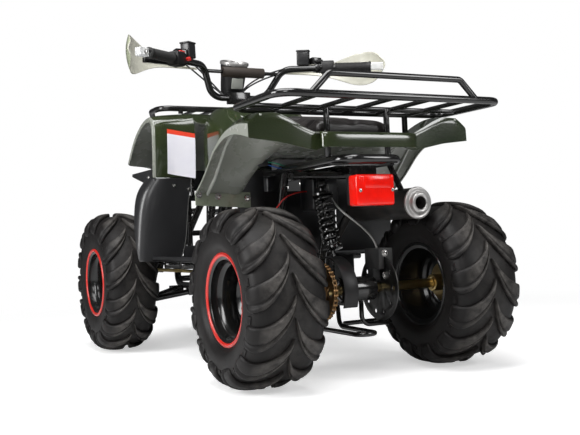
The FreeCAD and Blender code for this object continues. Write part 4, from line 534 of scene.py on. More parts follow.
def makeTyre(name, centre, diameter, width, lugs, bead, rimHalf, body):
    crown = diameter / 2 - tyreTread["height"] * 1.06
    half = width / 2 - 0.0012
    line = tyreLine(half, crown, bead, rimHalf)
    inner = [(x * tyreTread["innerWidth"], r - tyreTread["lining"]) for x, _, r in line[:-2]]
    lip = line[-1][0] - tyreTread["beadLip"]
    outline = [(x, r) for x, _, r in line] + [(lip, bead)]
    outline += [(x, r) for x, r in inner[::-1]] + [(-x, r) for x, r in inner[1:]]
    outline += [(-lip, bead)] + [(-x, r) for x, _, r in line[:0:-1]]
    carcass = smooth(subdivide(spun(name, outline, centre, 72), 1), 60)
    shoulder = line[:tyreTread["shoulder"] + 1]
    pitch = 2 * math.pi / lugs
    pieces = [carcass]
    for row, start in ((1, 0.0), (-1, 0.5)):
        rows = []
        for share, swing, wide, high in tyreTread["bar"]:
            top = tyreTread["height"] * high
            groove = top - tyreTread["groove"] * max(high, 0)
            levels = {-1: -tyreTread["sunk"], 0: groove, 0.4: top * 0.4, 1: top}
            widths = [(side, levels[level]) for side, level in tyreTread["across"]]
            rows.append([onTyre(shoulder, share, row, (swing + wide * side) * pitch, lift, centre)
                         for side, lift in widths])
        one = smooth(subdivide(skin(name + "Bar", rows, ring=True, ends=True), 1), 50)
        pieces += repeated(one, lugs, centre, start)
        rows = []
        for u in lugMark["steps"]:
            rows.append([])
            for v in lugMark["steps"]:
                edge = max(abs(u), abs(v))
                lift = lugMark["sunk"] if edge > 0.95 else lugMark["lift"] if edge > 0.7 else lugMark["floor"]
                angle = (lugMark["turn"] + lugMark["halfTurn"] * v) * pitch
                rows[-1].append(onTyre(line, lugMark["share"] + lugMark["half"] * u, row, angle, lift,
                                       centre))
        pieces += repeated(outward(skin(name + "Mark", rows)), lugs, centre, start)
    whole = joined(name, pieces)
    look = looks["tyreRear" if centre[1] > 0 else "tyreFront"]
    finishPiece(whole, look, body, [name])


wheels = {
    # the axle's place; the tyre's diameter, width and bars in a row; the rim's width
    "rear": {"x": 0.295, "y": 0.530, "z": 0.2285, "diameter": 0.457, "width": 0.204, "lugs": 13,
             "rim": 0.172},
    "front": {"x": 0.360, "y": -0.480, "z": 0.2415, "diameter": 0.483, "width": 0.170, "lugs": 14,
              "rim": 0.158},
}
rimShape = {
    # from the outer flange over the well to the inner flange; share of half width, radius
    "barrel": [(0.985, 0.1158), (1.0, 0.1140), (0.992, 0.1105), (0.965, 0.1095), (0.945, 0.1078),
               (0.938, 0.1035), (0.915, 0.1008), (0.72, 0.0995), (0.66, 0.0970), (0.60, 0.0890),
               (0.50, 0.0865), (0.16, 0.0865),
               (0.06, 0.0900), (0.0, 0.0965), (-0.10, 0.0990), (-0.915, 0.1008), (-0.938, 0.1035),
               (-0.945, 0.1078), (-0.965, 0.1095), (-0.992, 0.1105), (-1.0, 0.1140), (-0.985, 0.1158)],
    "dish": [(0.0095, 0.0880), (0.0105, 0.0800), (0.0180, 0.0740), (0.0200, 0.0660), (0.0125, 0.0590),
             (0.0100, 0.0540), (0.0100, 0.0300), (0.0110, 0.0222)],
    "ring": [(-0.0030, 0.1060), (0.0004, 0.1085), (0.0014, 0.1120), (0.0010, 0.1158), (-0.0012, 0.1182),
             (-0.0046, 0.1186), (-0.0060, 0.1160), (-0.0045, 0.1125), (-0.0050, 0.1080)],
    "wall": 0.0028, "dishWall": 0.004, "ringShare": 0.985, "ringOut": 0.0016, "bead": 0.1035,
}
valveShape = {"across": (0.030, 0.052), "back": (0.080, 0.077), "radius": 0.0035, "tip": 0.003,
              "edge": 0.0006}


def makeRim(name, centre, half, side, body):
    barrel = spun(name, [(side * x * half, r) for x, r in rimShape["barrel"]], centre, 96, closed=False)
    walled(barrel, rimShape["wall"], 0.0)
    dish = spun(name + "Dish", [(side * x, r) for x, r in rimShape["dish"]], centre, 96, closed=False)
    walled(dish, rimShape["dishWall"], 0.0)
    whole = smooth(joined(name, [barrel, dish]), 40)
    finishPiece(whole, looks["rim"], body, [name])
    edge = half * rimShape["ringShare"] + rimShape["ringOut"]
    ring = spun(name + "RedRing", [(side * (edge + x), r) for x, r in rimShape["ring"]], centre, 96)
    finishPiece(smooth(subdivide(ring, 1)), looks["redRing"], body)


for end, size in wheels.items():
    for sideName, side in (("left", 1), ("right", -1)):
        centre = (side * size["x"], size["y"], size["z"])
        body = bodyOf["%s_tyre_%s" % (end, sideName)]
        makeTyre("%s_tyre_%s" % (end, sideName), centre, size["diameter"], size["width"], size["lugs"],
                 rimShape["bead"], size["rim"] / 2, body)
        makeRim("%s_rim_%s" % (end, sideName), centre, size["rim"] / 2, side, body)
        valveLine = zip(valveShape["across"], valveShape["back"])
        ends = [(centre[0] + side * x, centre[1] + y, centre[2]) for x, y in valveLine]
        valve = cylinder(*ends, valveShape["radius"], 16, valveShape["tip"])
        finishPiece(smooth(bevel(valve, valveShape["edge"])), looks["hose"], body)
        valve.name = "valve_%s_%s" % (end, sideName)
print("wheels ready")


# green bodywork: smooth sheets, dark film outside, pale bare plastic inside; the skirt bands on the lips take
# the same pale colour as a painted highlight
def creased(piece, wide, columns=(), rows=(), value=0.6):
    known = piece.data.attributes
    weights = known.get("crease_edge") or known.new("crease_edge", "FLOAT", "EDGE")
    for edge, weight in zip(piece.data.edges, weights.data):
        a, b = edge.vertices
        if (a % wide == b % wide and a % wide in columns) or (a // wide == b // wide and a // wide in rows):
            weight.value = value
    return piece


def paintedHighlightColumns(piece, wide, columns):
    # the faces of these columns take the pale second look: a painted highlight on the lips' skirt bands
    for face in piece.data.polygons:
        if min(v % wide for v in face.vertices) in columns:
            face.material_index = 1
    return piece


def sheetOf(name, rows, wall, columns=(), creaseRows=(), pale=(), value=0.6, levels=2, flip=False):
    wide = len(rows[0])
    piece = skin(name, rows)
    if flip:
        piece.data.flip_normals()
    creased(piece, wide, columns, creaseRows, value)
    paintedHighlightColumns(piece, wide, pale)
    subdivide(piece, levels)
    for look in ("green", "bareGreenWithLipHighlight", "bareGreenWithLipHighlight"):
        piece.data.materials.append(looks[look])
    walled(piece, wall, inside=1, rim=1)
    return smooth(piece, 50)


rearFender = {
    "start": 0.250, "length": 0.368, "foot": 0.475, "rise": 0.210, "lip": 0.334, "wall": 0.0036,
    "cross": (1.0, 1.0, 0.985, 0.904, 0.763, 0.66, 0.569, 0.449),
    # along the arch; heights of skirt foot and top, bevel, outer and inner crest, slope, inner foot, deck
    "arch": [(0.0, (0.13, 0.168, 0.176, 0.176, 0.167, 0.15, 0.12, 0.595)),
             (0.163, (0.30, 0.335, 0.348, 0.367, 0.371, 0.35, 0.31, 0.614)),
             (0.29, (0.49, 0.53, 0.552, 0.585, 0.595, 0.53, 0.44, 0.63)),
             (0.38, (0.63, 0.67, 0.70, 0.745, 0.755, 0.66, 0.54, 0.652)),
             (0.557, (0.766, 0.835, 0.867, 0.929, 0.938, 0.84, 0.714, 0.719)),
             (0.70, (0.79, 0.88, 0.92, 1.0, 1.005, 0.91, 0.79, 0.75)),
             (0.815, (0.775, 0.90, 0.94, 1.014, 1.024, 0.94, 0.833, 0.767)),
             (0.984, (0.70, 0.86, 0.89, 0.99, 1.0, 0.94, 0.857, 0.776))],
    "rearEdge": [(0.449, 0.55), (0.75, 0.65), (1.0, 0.69)],
    "tongueHalf": 0.14, "tongueDrop": 0.004, "turnBack": 0.0015,
}
deckShape = {"across": (-0.150, -0.10, 0.0, 0.10, 0.150),
             "line": ((0.1005, 0.598), (0.15, 0.5985), (0.20, 0.599), (0.2525, 0.600))}
tongueShape = {
    "line": ((0.598, 0.638), (0.625, 0.6378), (0.640, 0.6365), (0.6485, 0.6325), (0.650, 0.622),
             (0.650, 0.5965)),
    # place across and how far forward it lies there
    "across": ((-0.1450, 0.015), (-0.1425, 0.002), (-0.12, 0.0), (0.0, 0.0), (0.12, 0.0), (0.1425, 0.002),
               (0.1450, 0.015)),
}
flangeShape = {"place": 0.2505, "wall": 0.004, "edge": 0.0008,
               "rows": (((0.165, 0.463), (0.25, 0.4685), (0.334, 0.474)),
                        ((0.165, 0.487), (0.25, 0.489), (0.334, 0.491)),
                        ((0.165, 0.508), (0.25, 0.510), (0.334, 0.510)))}
ribShape = {"place": 0.298, "drop": 0.004, "edge": 0.0012, "rows": 8,
            "section": ((-0.004, 0.001), (0.004, 0.001), (0.003, -0.0085), (-0.003, -0.0085))}


def archRow(place, heights, size):
    side = [(size["lip"] * x, place, size["foot"] + size["rise"] * z) for x, z in zip(size["cross"], heights)]
    return side + [(0.0, place, side[-1][2])] + [(-x, y, z) for x, y, z in side[::-1]]


def turnedDown(point, part, size):
    # the rear edge turns down outside the tongue
    x, y, z = point
    y += size["turnBack"] * part
    if abs(x) <= size["tongueHalf"]:
        return x, y, z - size["tongueDrop"] * part
    share = max(abs(x) / size["lip"], size["cross"][-1])
    low = min(z, size["foot"] + size["rise"] * readLine(size["rearEdge"], share))
    return x, y, z + (low - z) * part


size = rearFender
rows = [archRow(size["start"] + size["length"] * share, heights, size) for share, heights in size["arch"]]
last = rows[-1]
for part in (0.5, 1.0):
    rows.append([turnedDown(point, part, size) for point in last])
wide = len(rows[0])
creases = (1, 3, 4, 7, wide - 2, wide - 4, wide - 5, wide - 8)
# columns 0 and wide - 2 are the outer skirt bands, painted pale as a highlight
arch = sheetOf("rear_fender", rows, size["wall"], columns=creases, creaseRows=(7,), pale=(0, wide - 2),
               value=0.55, flip=True)
deckRows = [[(x, y, z) for x in deckShape["across"]] for y, z in deckShape["line"]]
deck = sheetOf("deckFront", deckRows, size["wall"], levels=1, flip=True)
tongueRows = [[(x, y - forward, z) for y, z in tongueShape["line"]] for x, forward in tongueShape["across"]]
tongue = sheetOf("tongue", tongueRows, size["wall"], columns=(3, 4), value=0.3, levels=1, flip=True)
flanges, ribs = [], []
for side in (1, -1):
    flangeRows = [[(side * x, flangeShape["place"], z) for x, z in row] for row in flangeShape["rows"]]
    plate = skin("flange", flangeRows)
    walled(plate, flangeShape["wall"], 1.0 if side > 0 else -1.0)
    flanges.append(bevel(plate, flangeShape["edge"]))
    crest = [(row[0][1], row[3][2]) for row in rows[:ribShape["rows"]]]
    ribRows = [[(side * (ribShape["place"] + a), y, z - ribShape["drop"] + b) for a, b in ribShape["section"]]
               for y, z in crest]
    ribs.append(smooth(bevel(skin("rib", ribRows, ring=True, ends=True), ribShape["edge"]), 60))
fender = joined("rear_fender_sheet", [arch, deck, tongue])
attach(fender, "chassis")
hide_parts("rear_fender")
finishPiece(joined("fender_flanges", flanges), looks["oliveFlange"], "chassis")
finishPiece(joined("fender_ribs", ribs), looks["innerPale"], "chassis")

frontFender = {
    "face": -0.170, "length": 0.390, "foot": 0.586, "rise": 0.220, "lip": 0.305, "inner": 0.165,
    "depth": 0.011,
    "outer": [(-0.067, 0.0), (-0.055, 0.25), (-0.051, 0.427), (-0.041, 0.70), (-0.072, 0.83), (-0.115, 0.895),
              (-0.22, 0.90), (-0.333, 0.859), (-0.52, 0.71), (-0.64, 0.541), (-0.769, 0.314)],
    "middle": [(-0.056, 0.0), (-0.033, 0.25), (-0.021, 0.473), (-0.015, 0.755), (-0.05, 0.89),
               (-0.128, 0.973), (-0.25, 0.975), (-0.385, 0.927), (-0.58, 0.76), (-0.718, 0.586),
               (-0.872, 0.291)],
    "innerLine": [(0.0, 0.0), (0.015, 0.25), (0.026, 0.518), (0.013, 0.795), (-0.03, 0.93), (-0.128, 1.0),
                  (-0.28, 0.995), (-0.436, 0.955), (-0.64, 0.82), (-0.795, 0.655), (-1.0, 0.245)],
    # columns between the lip and the crown: distance from the lip, share from the outer to the middle line
    "lipIn": 0.0015, "bends": ((0.008, 0.42), (0.028, 0.75)), "crownIn": 0.04, "crownShare": 0.62,
    "wall": 0.0036, "hoodFrom": 3, "hoodShare": 0.6,
    "stemHole": {"start": (0, -0.447, 0.290), "end": (0, -0.150, 0.882), "radius": 0.0305},
}


def frontLine(shares, size):
    return [(size["face"] + size["length"] * y, size["foot"] + size["rise"] * z) for y, z in shares]


def between(first, second, share):
    return [(ya + (yb - ya) * share, za + (zb - za) * share) for (ya, za), (yb, zb) in zip(first, second)]


def pulledIn(line, depth):
    moved = []
    for k, (y, z) in enumerate(line):
        before, after = line[max(k - 1, 0)], line[min(k + 1, len(line) - 1)]
        way = Vector((after[0] - before[0], after[1] - before[1])).normalized()
        moved.append((y - way.y * depth, z + way.x * depth))
    return moved


size = frontFender
outer, middle, innerRow = (frontLine(size[key], size) for key in ("outer", "middle", "innerLine"))
foot = pulledIn(outer, size["depth"])
lip, inner = size["lip"], size["inner"]
crown = (lip + inner) / 2
columns = [(lip - size["lipIn"], foot), (lip, outer)]
columns += [(lip - inward, between(outer, middle, share)) for inward, share in size["bends"]]
columns += [(crown, middle), (crown - size["crownIn"], between(middle, innerRow, size["crownShare"]))]
columns.append((inner, innerRow))
arches = []
for side in (1, -1):
    rows = [[(side * x, line[k][0], line[k][1]) for x, line in columns] for k in range(len(outer))]
    # the lip bands, columns 0 and 1, are painted pale as a highlight
    arches.append(sheetOf("frontArch", rows, size["wall"], columns=(1, 2), pale=(0, 1), value=0.45,
                          flip=side < 0))
hoodAcross = (inner, inner * size["hoodShare"], 0.0, -inner * size["hoodShare"], -inner)
hood = sheetOf("hood", [[(x, y, z) for x in hoodAcross] for y, z in innerRow[size["hoodFrom"]:]],
               size["wall"])
hole = size["stemHole"]
cut = cylinder(hole["start"], hole["end"], hole["radius"], 48)
modifier = hood.modifiers.new("stemHole", "BOOLEAN")
modifier.object = cut
modifier.solver = "EXACT"
applyAll(hood)
bpy.data.objects.remove(cut)
front = joined("front_fender_sheet", arches + [hood])
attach(front, "chassis")
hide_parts("front_fender")

# blank notice panel on the wall behind the left wheel
labelSize = {"left": 0.258, "right": 0.168, "top": (0.744, 0.728), "foot": (0.598, 0.580), "lift": 0.0052,
             "wall": 0.0008, "across": (0.0, 0.25, 0.5, 0.75, 1.0), "down": (0.0, 0.1, 0.25, 0.5, 0.75, 1.0)}


def onWall(x, z):
    # how far back the fender's rear wall lies at a place across and a height
    share = (lip - x) / (lip - inner)
    a, b, c = (readLine([(height, y) for y, height in line], z) for line in (outer, middle, innerRow))
    return a + (b - a) * share * 2 if share < 0.5 else b + (c - b) * (share - 0.5) * 2


rows = []
for v in labelSize["down"]:
    rows.append([])
    for u in labelSize["across"]:
        x = labelSize["left"] + (labelSize["right"] - labelSize["left"]) * u
        top = labelSize["top"][0] + (labelSize["top"][1] - labelSize["top"][0]) * u
        low = labelSize["foot"][0] + (labelSize["foot"][1] - labelSize["foot"][0]) * u
        z = top + (low - top) * v
        rows[-1].append((x, onWall(x, z) + labelSize["lift"], z))
panel = skin("labelPanel", rows)
wide = len(labelSize["across"])
for face in panel.data.polygons:
    # the first row is the red band
    face.material_index = 1 if min(v // wide for v in face.vertices) == 0 else 0
creased(panel, wide, (0, 4), (0, 1, 5), 1.0)
subdivide(panel, 2)
walled(panel, labelSize["wall"], 0.0)
finishPiece(smooth(panel, 40), [looks["label"], looks["labelRed"]], "chassis")

# cowl over the tank
cowlShape = {
    "front": -0.150, "end": 0.134, "floor": 0.566, "top": 0.806, "half": 0.152, "wall": 0.0036,
    # along the cowl; half widths of foot, side, shoulder and top; heights of side, shoulder, top and crest
    "stations": [(0.0, (0.91, 0.93, 0.72, 0.4), (0.72, 0.925, 0.95, 0.955)),
                 (0.18, (0.92, 1.0, 0.79, 0.4), (0.765, 0.965, 0.995, 1.0)),
                 (0.43, (0.89, 0.99, 0.79, 0.4), (0.74, 0.945, 0.985, 0.99)),
                 (0.68, (0.84, 0.94, 0.76, 0.4), (0.68, 0.875, 0.92, 0.925)),
                 (0.86, (0.74, 0.84, 0.68, 0.35), (0.60, 0.77, 0.815, 0.82)),
                 (1.0, (0.62, 0.70, 0.52, 0.3), (0.50, 0.615, 0.655, 0.66))],
    # the ends close by rows pulled towards the middle of the floor
    "pulled": (0.02, 0.6),
}


def pulled(row, share, floor):
    return [(x * share, y, floor + (z - floor) * share) for x, y, z in row]


size = cowlShape
rise = size["top"] - size["floor"]
rows = []
for share, widths, heights in size["stations"]:
    y = size["front"] + (size["end"] - size["front"]) * share
    half, floor = size["half"], size["floor"]
    side = [(half * widths[0], y, floor), (half * widths[1], y, floor + rise * heights[0]),
            (half * (widths[1] + widths[2]) / 2, y, floor + rise * (heights[0] * 0.35 + heights[1] * 0.65)),
            (half * widths[2], y, floor + rise * heights[1]),
            (half * widths[3], y, floor + rise * heights[2])]
    rows.append(side + [(0.0, y, floor + rise * heights[3])] + [(-x, yy, z) for x, yy, z in side[::-1]])
wide = len(rows[0])
rows = ([pulled(rows[0], share, size["floor"]) for share in size["pulled"]] + rows
        + [pulled(rows[-1], share, size["floor"]) for share in size["pulled"][::-1]])
cowl = skin("tank_cowl_sheet", rows)
creased(cowl, wide, (3, 7), (2, 7), 0.5)
subdivide(cowl, 2)
walled(cowl, size["wall"], -1.0)
finishPiece(smooth(cowl, 50), looks["green"], "chassis", ["tank_cowl"])
print("bodywork ready")


# seat: a padded saddle swelled by cloth
seatShape = {
    "front": 0.104, "back": 0.572, "half": 0.122, "top": 0.714, "gap": 0.0022,
    "pressure": 4.0, "cap": 0.007, "voxel": 0.005, "frames": 20, "floorSpace": 0.0006,
    # the cover stays between these places along the deck, and under this height at its nose
    "limits": (0.1025, 0.5745), "noseTo": 0.150, "noseTop": 0.7185,
    "deck": [(0.1005, 0.598), (0.250, 0.600), (0.310, 0.6039), (0.357, 0.6073), (0.39, 0.6119),
             (0.455, 0.626), (0.508, 0.6325), (0.55, 0.6361), (0.612, 0.638)],
    # along the seat; half widths of foot, bulge and top; height share of the top
    "stations": [(0.0, (0.56, 0.60, 0.42), 0.985), (0.04, (0.64, 0.68, 0.52), 0.988),
                 (0.2, (0.88, 0.92, 0.73), 0.990), (0.48, (0.96, 1.0, 0.86), 1.0),
                 (0.62, (0.96, 1.0, 0.87), 0.985), (0.745, (0.96, 1.0, 0.86), 0.963),
                 (0.945, (0.96, 0.99, 0.82), 0.947), (0.985, (0.94, 0.97, 0.78), 0.940),
                 (1.0, (0.90, 0.93, 0.70), 0.930)],
}


size = seatShape
rows = []
for share, widths, top in size["stations"]:
    y = size["front"] + (size["back"] - size["front"]) * share
    half, low, high = size["half"], readLine(size["deck"], y) + size["gap"], size["top"] * top
    side = [(half * widths[0] * 0.5, low), (half * widths[0], low),
            (half * widths[1], low + (high - low) * 0.45),
            (half * (widths[1] + widths[2]) / 2, low + (high - low) * 0.84),
            (half * widths[2], high - 0.002), (half * widths[2] * 0.5, high)]
    rows.append([(x, y, z) for x, z in side] + [(-x, y, z) for x, z in side[::-1]])
seat = skin("seat_cover", rows, ring=True, ends=True)
seat = subdivide(bevel(seat, 0.004, 2, 50), 1)
modifier = seat.modifiers.new("even", "REMESH")
modifier.mode = "VOXEL"
modifier.voxel_size = size["voxel"]
applyAll(seat)
before = [vertex.co.copy() for vertex in seat.data.vertices]
cloth = seat.modifiers.new("cover", "CLOTH")
cloth.settings.use_pressure = True
cloth.settings.uniform_pressure_force = size["pressure"]
cloth.settings.effector_weights.gravity = 0
for step in range(1, size["frames"] + 1):
    bpy.context.scene.frame_set(step)
choose(seat)
bpy.ops.object.modifier_apply(modifier="cover")
bpy.context.scene.frame_set(1)
for vertex, start in zip(seat.data.vertices, before):
    moved = vertex.co - start
    if moved.length > size["cap"]:
        vertex.co = start + moved * (size["cap"] / moved.length)
    vertex.co.z = max(vertex.co.z, readLine(size["deck"], vertex.co.y) + size["floorSpace"])
    vertex.co.y = min(max(vertex.co.y, size["limits"][0]), size["limits"][1])
    if vertex.co.y < size["noseTo"]:
        vertex.co.z = min(vertex.co.z, size["noseTop"])
seat = smooth(subdivide(seat, 1), 180)
finishPiece(seat, looks["seat"], "chassis", ["seat"])
print("seat ready")

# footwells: mudguard behind each front wheel, floor, toe board, flap and outer rib
guardShape = {
    # height, inner edge, outer edge, depth of the outer wrap
    "rows": [(0.5825, 0.176, 0.313, 0.054), (0.572, 0.177, 0.320, 0.054), (0.548, 0.180, 0.339, 0.056),
             (0.512, 0.188, 0.354, 0.050), (0.45, 0.196, 0.363, 0.040), (0.38, 0.203, 0.3655, 0.026),
             (0.345, 0.212, 0.3655, 0.016), (0.3125, 0.224, 0.362, 0.010)],
    "across": [(0.0, 0.0), (0.04, 0.0), (0.30, 0.0), (0.58, 0.0), (0.74, -0.03), (0.87, -0.13),
               (0.955, -0.38), (1.0, -0.98)],
    "place": -0.1902, "wall": 0.0038, "edge": 0.0009,
}
wellParts = {"floor": ((0.142, -0.190, 0.3122), (0.322, 0.262, 0.318)),
             "toe": ((0.142, -0.194, 0.312), (0.212, -0.190, 0.357)),
             "rib": ((0.318, -0.190, 0.312), (0.322, 0.262, 0.328))}
flapShape = {"across": (0.296, 0.300), "edge": 0.0012,
             "line": ((-0.194, 0.556), (-0.228, 0.556), (-0.440, 0.606), (-0.440, 0.616), (-0.228, 0.616),
                      (-0.194, 0.583))}
# a thin grey line along each mudguard's inner edge: a painted highlight for the light the thin plastic edge
# catches
edgeHighlightShape = {"radius": 0.0017, "out": 0.0006, "behind": 0.0022}
# bolts on the mudguard's face, on the flap and on the rear fender's flange
bodyBolts = {"guard": ((0.236, 0.557), (0.186, 0.545)), "onGuard": 0.0006, "flap": (0.3002, -0.262, 0.589),
             "flange": ((0.325, 0.503), (0.2675, 0.498), (0.177, 0.491)), "onFlange": 0.2545}
for sideName, side in (("left", 1), ("right", -1)):
    size = guardShape
    rows = [[(side * (inner + (outer - inner) * x), size["place"] + depth * y, z) for x, y in size["across"]]
            for z, inner, outer, depth in size["rows"]]
    guard = skin("mudguard", rows)
    creased(guard, len(size["across"]), (0,), (0, len(rows) - 1), 0.8)
    subdivide(guard, 2)
    walled(guard, size["wall"], 1.0 if side > 0 else -1.0)
    pieces = [smooth(bevel(guard, size["edge"], 2, 60), 45)]
    for low, high in wellParts.values():
        xs = sorted((side * low[0], side * high[0]))
        pieces.append(smooth(block((xs[0], low[1], low[2]), (xs[1], high[1], high[2]), 0.0015, 2)))
    flapRows = [[(side * x, y, z) for y, z in flapShape["line"]] for x in flapShape["across"]]
    pieces.append(smooth(bevel(skin("flap", flapRows, ring=True, ends=True), flapShape["edge"])))
    well = joined("footwell_%s_moulding" % sideName, pieces)
    finishPiece(well, looks["satin"], "chassis", ["footwell_" + sideName])
    # painted highlight: a grey line along the mudguard's inner edge
    edgeLine = [(side * (inner + edgeHighlightShape["out"]), size["place"] + edgeHighlightShape["behind"], z)
                for z, inner, outer, depth in size["rows"]]
    edgeHighlight = tubeAlong("mudguardEdge_" + sideName, edgeLine, edgeHighlightShape["radius"])
    finishPiece(edgeHighlight, looks["edgeGrey"], "chassis")
    onGuard, onFlap = size["place"] + bodyBolts["onGuard"], bodyBolts["flap"]
    bolts = [boltHead("bolt", (side * x, onGuard, z), (0, 1, 0)) for x, z in bodyBolts["guard"]]
    bolts.append(boltHead("bolt", (side * onFlap[0], onFlap[1], onFlap[2]), (side, 0, 0)))
    bolts += [boltHead("bolt", (side * x, bodyBolts["onFlange"], z), (0, 1, 0))
              for x, z in bodyBolts["flange"]]
    finishPiece(joined("bodyBolts_" + sideName, bolts), looks["bolt"], "chassis")
print("footwells ready")


# shapes turned at the origin along +X and then set on a line
def turnTo(way):
    return Vector((1, 0, 0)).rotation_difference(Vector(way).normalized()).to_matrix().to_4x4()


def turnedOn(name, outline, start, way, steps=48):
    piece = spun(name, outline, (0, 0, 0), steps)
    piece.data.transform(Matrix.Translation(start) @ turnTo(way))
    return piece


# controls on the handlebar
bar = {"end": (0.389, 0.065, 0.937), "knee": (0.146, -0.110, 0.948), "grip": 0.118}
gripShape = {
    "flange": [(0.0, 0.0112), (0.0, 0.0168), (0.004, 0.0172)], "ribs": 22, "ribsFrom": 0.007, "plain": 0.016,
    "groove": 0.0150, "rib": 0.0163,
    # past the outer end of the bar
    "cap": [(-0.007, 0.0150), (-0.003, 0.0172), (0.002, 0.0172), (0.0045, 0.0140), (0.0045, 0.0112)],
}
for sideName, side in (("left", 1), ("right", -1)):
    end, knee = (Vector((side * p[0], p[1], p[2])) for p in (bar["end"], bar["knee"]))
    way = (end - knee).normalized()
    start = end - way * bar["grip"]
    outline = list(gripShape["flange"])
    ribbed = bar["grip"] - gripShape["plain"]
    step = ribbed / gripShape["ribs"]
    for k in range(gripShape["ribs"]):
        x = gripShape["ribsFrom"] + ribbed * k / gripShape["ribs"]
        outline.append((x, gripShape["groove"]))
        outline += [(x + step * share, gripShape["rib"]) for share in (0.3, 0.7)]
    outline += [(bar["grip"] + x, radius) for x, radius in gripShape["cap"]]
    grip = smooth(turnedOn("grip_" + sideName, outline, start, way), 50)
    finishPiece(grip, looks["grip"], "steering")
    bar[sideName] = (start, way, end)
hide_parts("grips")

guardLine = {
    "inner": 0.150, "reach": 0.455, "face": -0.165, "depth": 0.231, "floor": 0.886, "height": 0.124,
    "wall": 0.0032,
    "plan": [(0.0, 0.0), (0.15, 0.03), (0.30, 0.072), (0.45, 0.145), (0.60, 0.245), (0.75, 0.375),
             (0.88, 0.53), (0.96, 0.72), (0.99, 0.86), (1.0, 0.99)],
    "upper": [0.50, 0.52, 0.54, 0.58, 0.68, 0.84, 0.97, 0.96, 0.88, 0.68],
    "lower": [0.44, 0.44, 0.43, 0.41, 0.34, 0.18, 0.02, 0.03, 0.12, 0.34],
    "bulge": 0.012, "bulgeBack": 0.7, "levels": (0.0, 0.2, 0.5, 0.8, 1.0), "edge": 0.0008,
}
guardBracket = {"low": (-0.002, -0.019, -0.013), "high": (0.040, 0.004, 0.013), "edge": 0.004, "past": 0.006,
                "screwPast": 0.022, "screwBack": 0.004, "screwRadius": 0.0055, "screwHeight": 0.004}
for sideName, side in (("left", 1), ("right", -1)):
    size = guardLine
    rows = []
    for (x, y), high, low in zip(size["plan"], size["upper"], size["lower"]):
        rows.append([])
        for v in size["levels"]:
            inset = size["bulge"] * ((2 * v - 1) ** 2)
            rows[-1].append((side * (size["inner"] + (size["reach"] - size["inner"]) * x - inset * x),
                             size["face"] + size["depth"] * y + inset * (1 - x) * size["bulgeBack"],
                             size["floor"] + size["height"] * (low + (high - low) * v)))
    guard = skin("handguard_" + sideName, rows)
    if side > 0:
        guard.data.flip_normals()
    subdivide(guard, 2)
    for look in ("olive", "oliveInner", "oliveInner"):
        guard.data.materials.append(looks[look])
    walled(guard, size["wall"], inside=1, rim=1)
    smooth(bevel(guard, size["edge"], 2, 60), 50)
    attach(guard, "steering")
    start, way, end = bar[sideName]
    size = guardBracket
    plate = block(size["low"], size["high"], size["edge"], 3)
    plate.data.transform(Matrix.Translation(end + way * size["past"]) @ turnTo(way))
    finishPiece(smooth(plate), looks["clearGuard"], "steering")
    plate.name = "guardBracket_" + sideName
    place = end + way * size["screwPast"] + Vector((0, size["screwBack"], 0))
    screw = boltHead("guardScrew_" + sideName, place, (0, 1, 0), size["screwRadius"], size["screwHeight"])
    finishPiece(screw, looks["bolt"], "steering")
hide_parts("handguards")
print("controls ready")


# what fills the bay under the seat: splash panel behind the engine, boxes and shields
splashShape = {"half": 0.148, "low": 0.330, "high": 0.512, "place": 0.196, "bow": 0.006, "flatter": 0.6,
               "across": (-1, -0.6, -0.2, 0.2, 0.6, 1), "up": (0, 0.12, 0.3, 0.5, 0.7, 0.88, 1),
               "wall": 0.003, "edge": 0.0008}
bayParts = {
    # low corner, high corner, rounding of the edges
    "airBox": ((-0.080, 0.252, 0.448), (0.004, 0.334, 0.560), 0.006),
    "fuseBox": ((0.026, 0.132, 0.440), (0.077, 0.184, 0.586), 0.006),
    "battery": ((-0.074, 0.060, 0.400), (0.020, 0.176, 0.512), 0.006),
    "greyBox": ((0.009, 0.270, 0.566), (0.105, 0.310, 0.5985), 0.006),
    "sideShield": ((-0.350, 0.199, 0.3225), (-0.1485, 0.205, 0.575), 0.002),
    "lowShield": ((-0.215, 0.182, 0.205), (0.088, 0.188, 0.311), 0.002),
    "nearShield": ((0.100, 0.205, 0.420), (0.188, 0.210, 0.575), 0.002),
    "connector": ((0.160, 0.325, 0.574), (0.192, 0.365, 0.592), 0.002),
}
raisedPanel = {"inset": 0.008, "height": 0.003, "leastArea": 0.0008}
size = splashShape
rows = []
for k, v in enumerate(size["up"]):
    bow = size["bow"] * (1 if k % 2 else size["flatter"])
    z = size["low"] + (size["high"] - size["low"]) * v
    rows.append([(size["half"] * x, size["place"] + bow * (x * x - 1), z) for x in size["across"]])
splash = subdivide(skin("splashPanel", rows), 1)
walled(splash, size["wall"], 0.0)
finishPiece(smooth(bevel(splash, size["edge"])), looks["satin"], "chassis")
for name, (low, high, edge) in bayParts.items():
    box = block(low, high, edge, 3)
    choose(box)
    bpy.ops.object.mode_set(mode="EDIT")
    bpy.ops.mesh.select_all(action="DESELECT")
    bpy.ops.object.mode_set(mode="OBJECT")
    for face in box.data.polygons:
        face.select = face.normal.y > 0.9 and face.area > raisedPanel["leastArea"]
    bpy.ops.object.mode_set(mode="EDIT")
    bpy.ops.mesh.inset(thickness=raisedPanel["inset"])
    bpy.ops.transform.translate(value=(0, raisedPanel["height"], 0))
    bpy.ops.object.mode_set(mode="OBJECT")
    box.name = name
    finishPiece(smooth(box), looks["step" if name == "greyBox" else "satin"], "chassis")
print("bay ready")


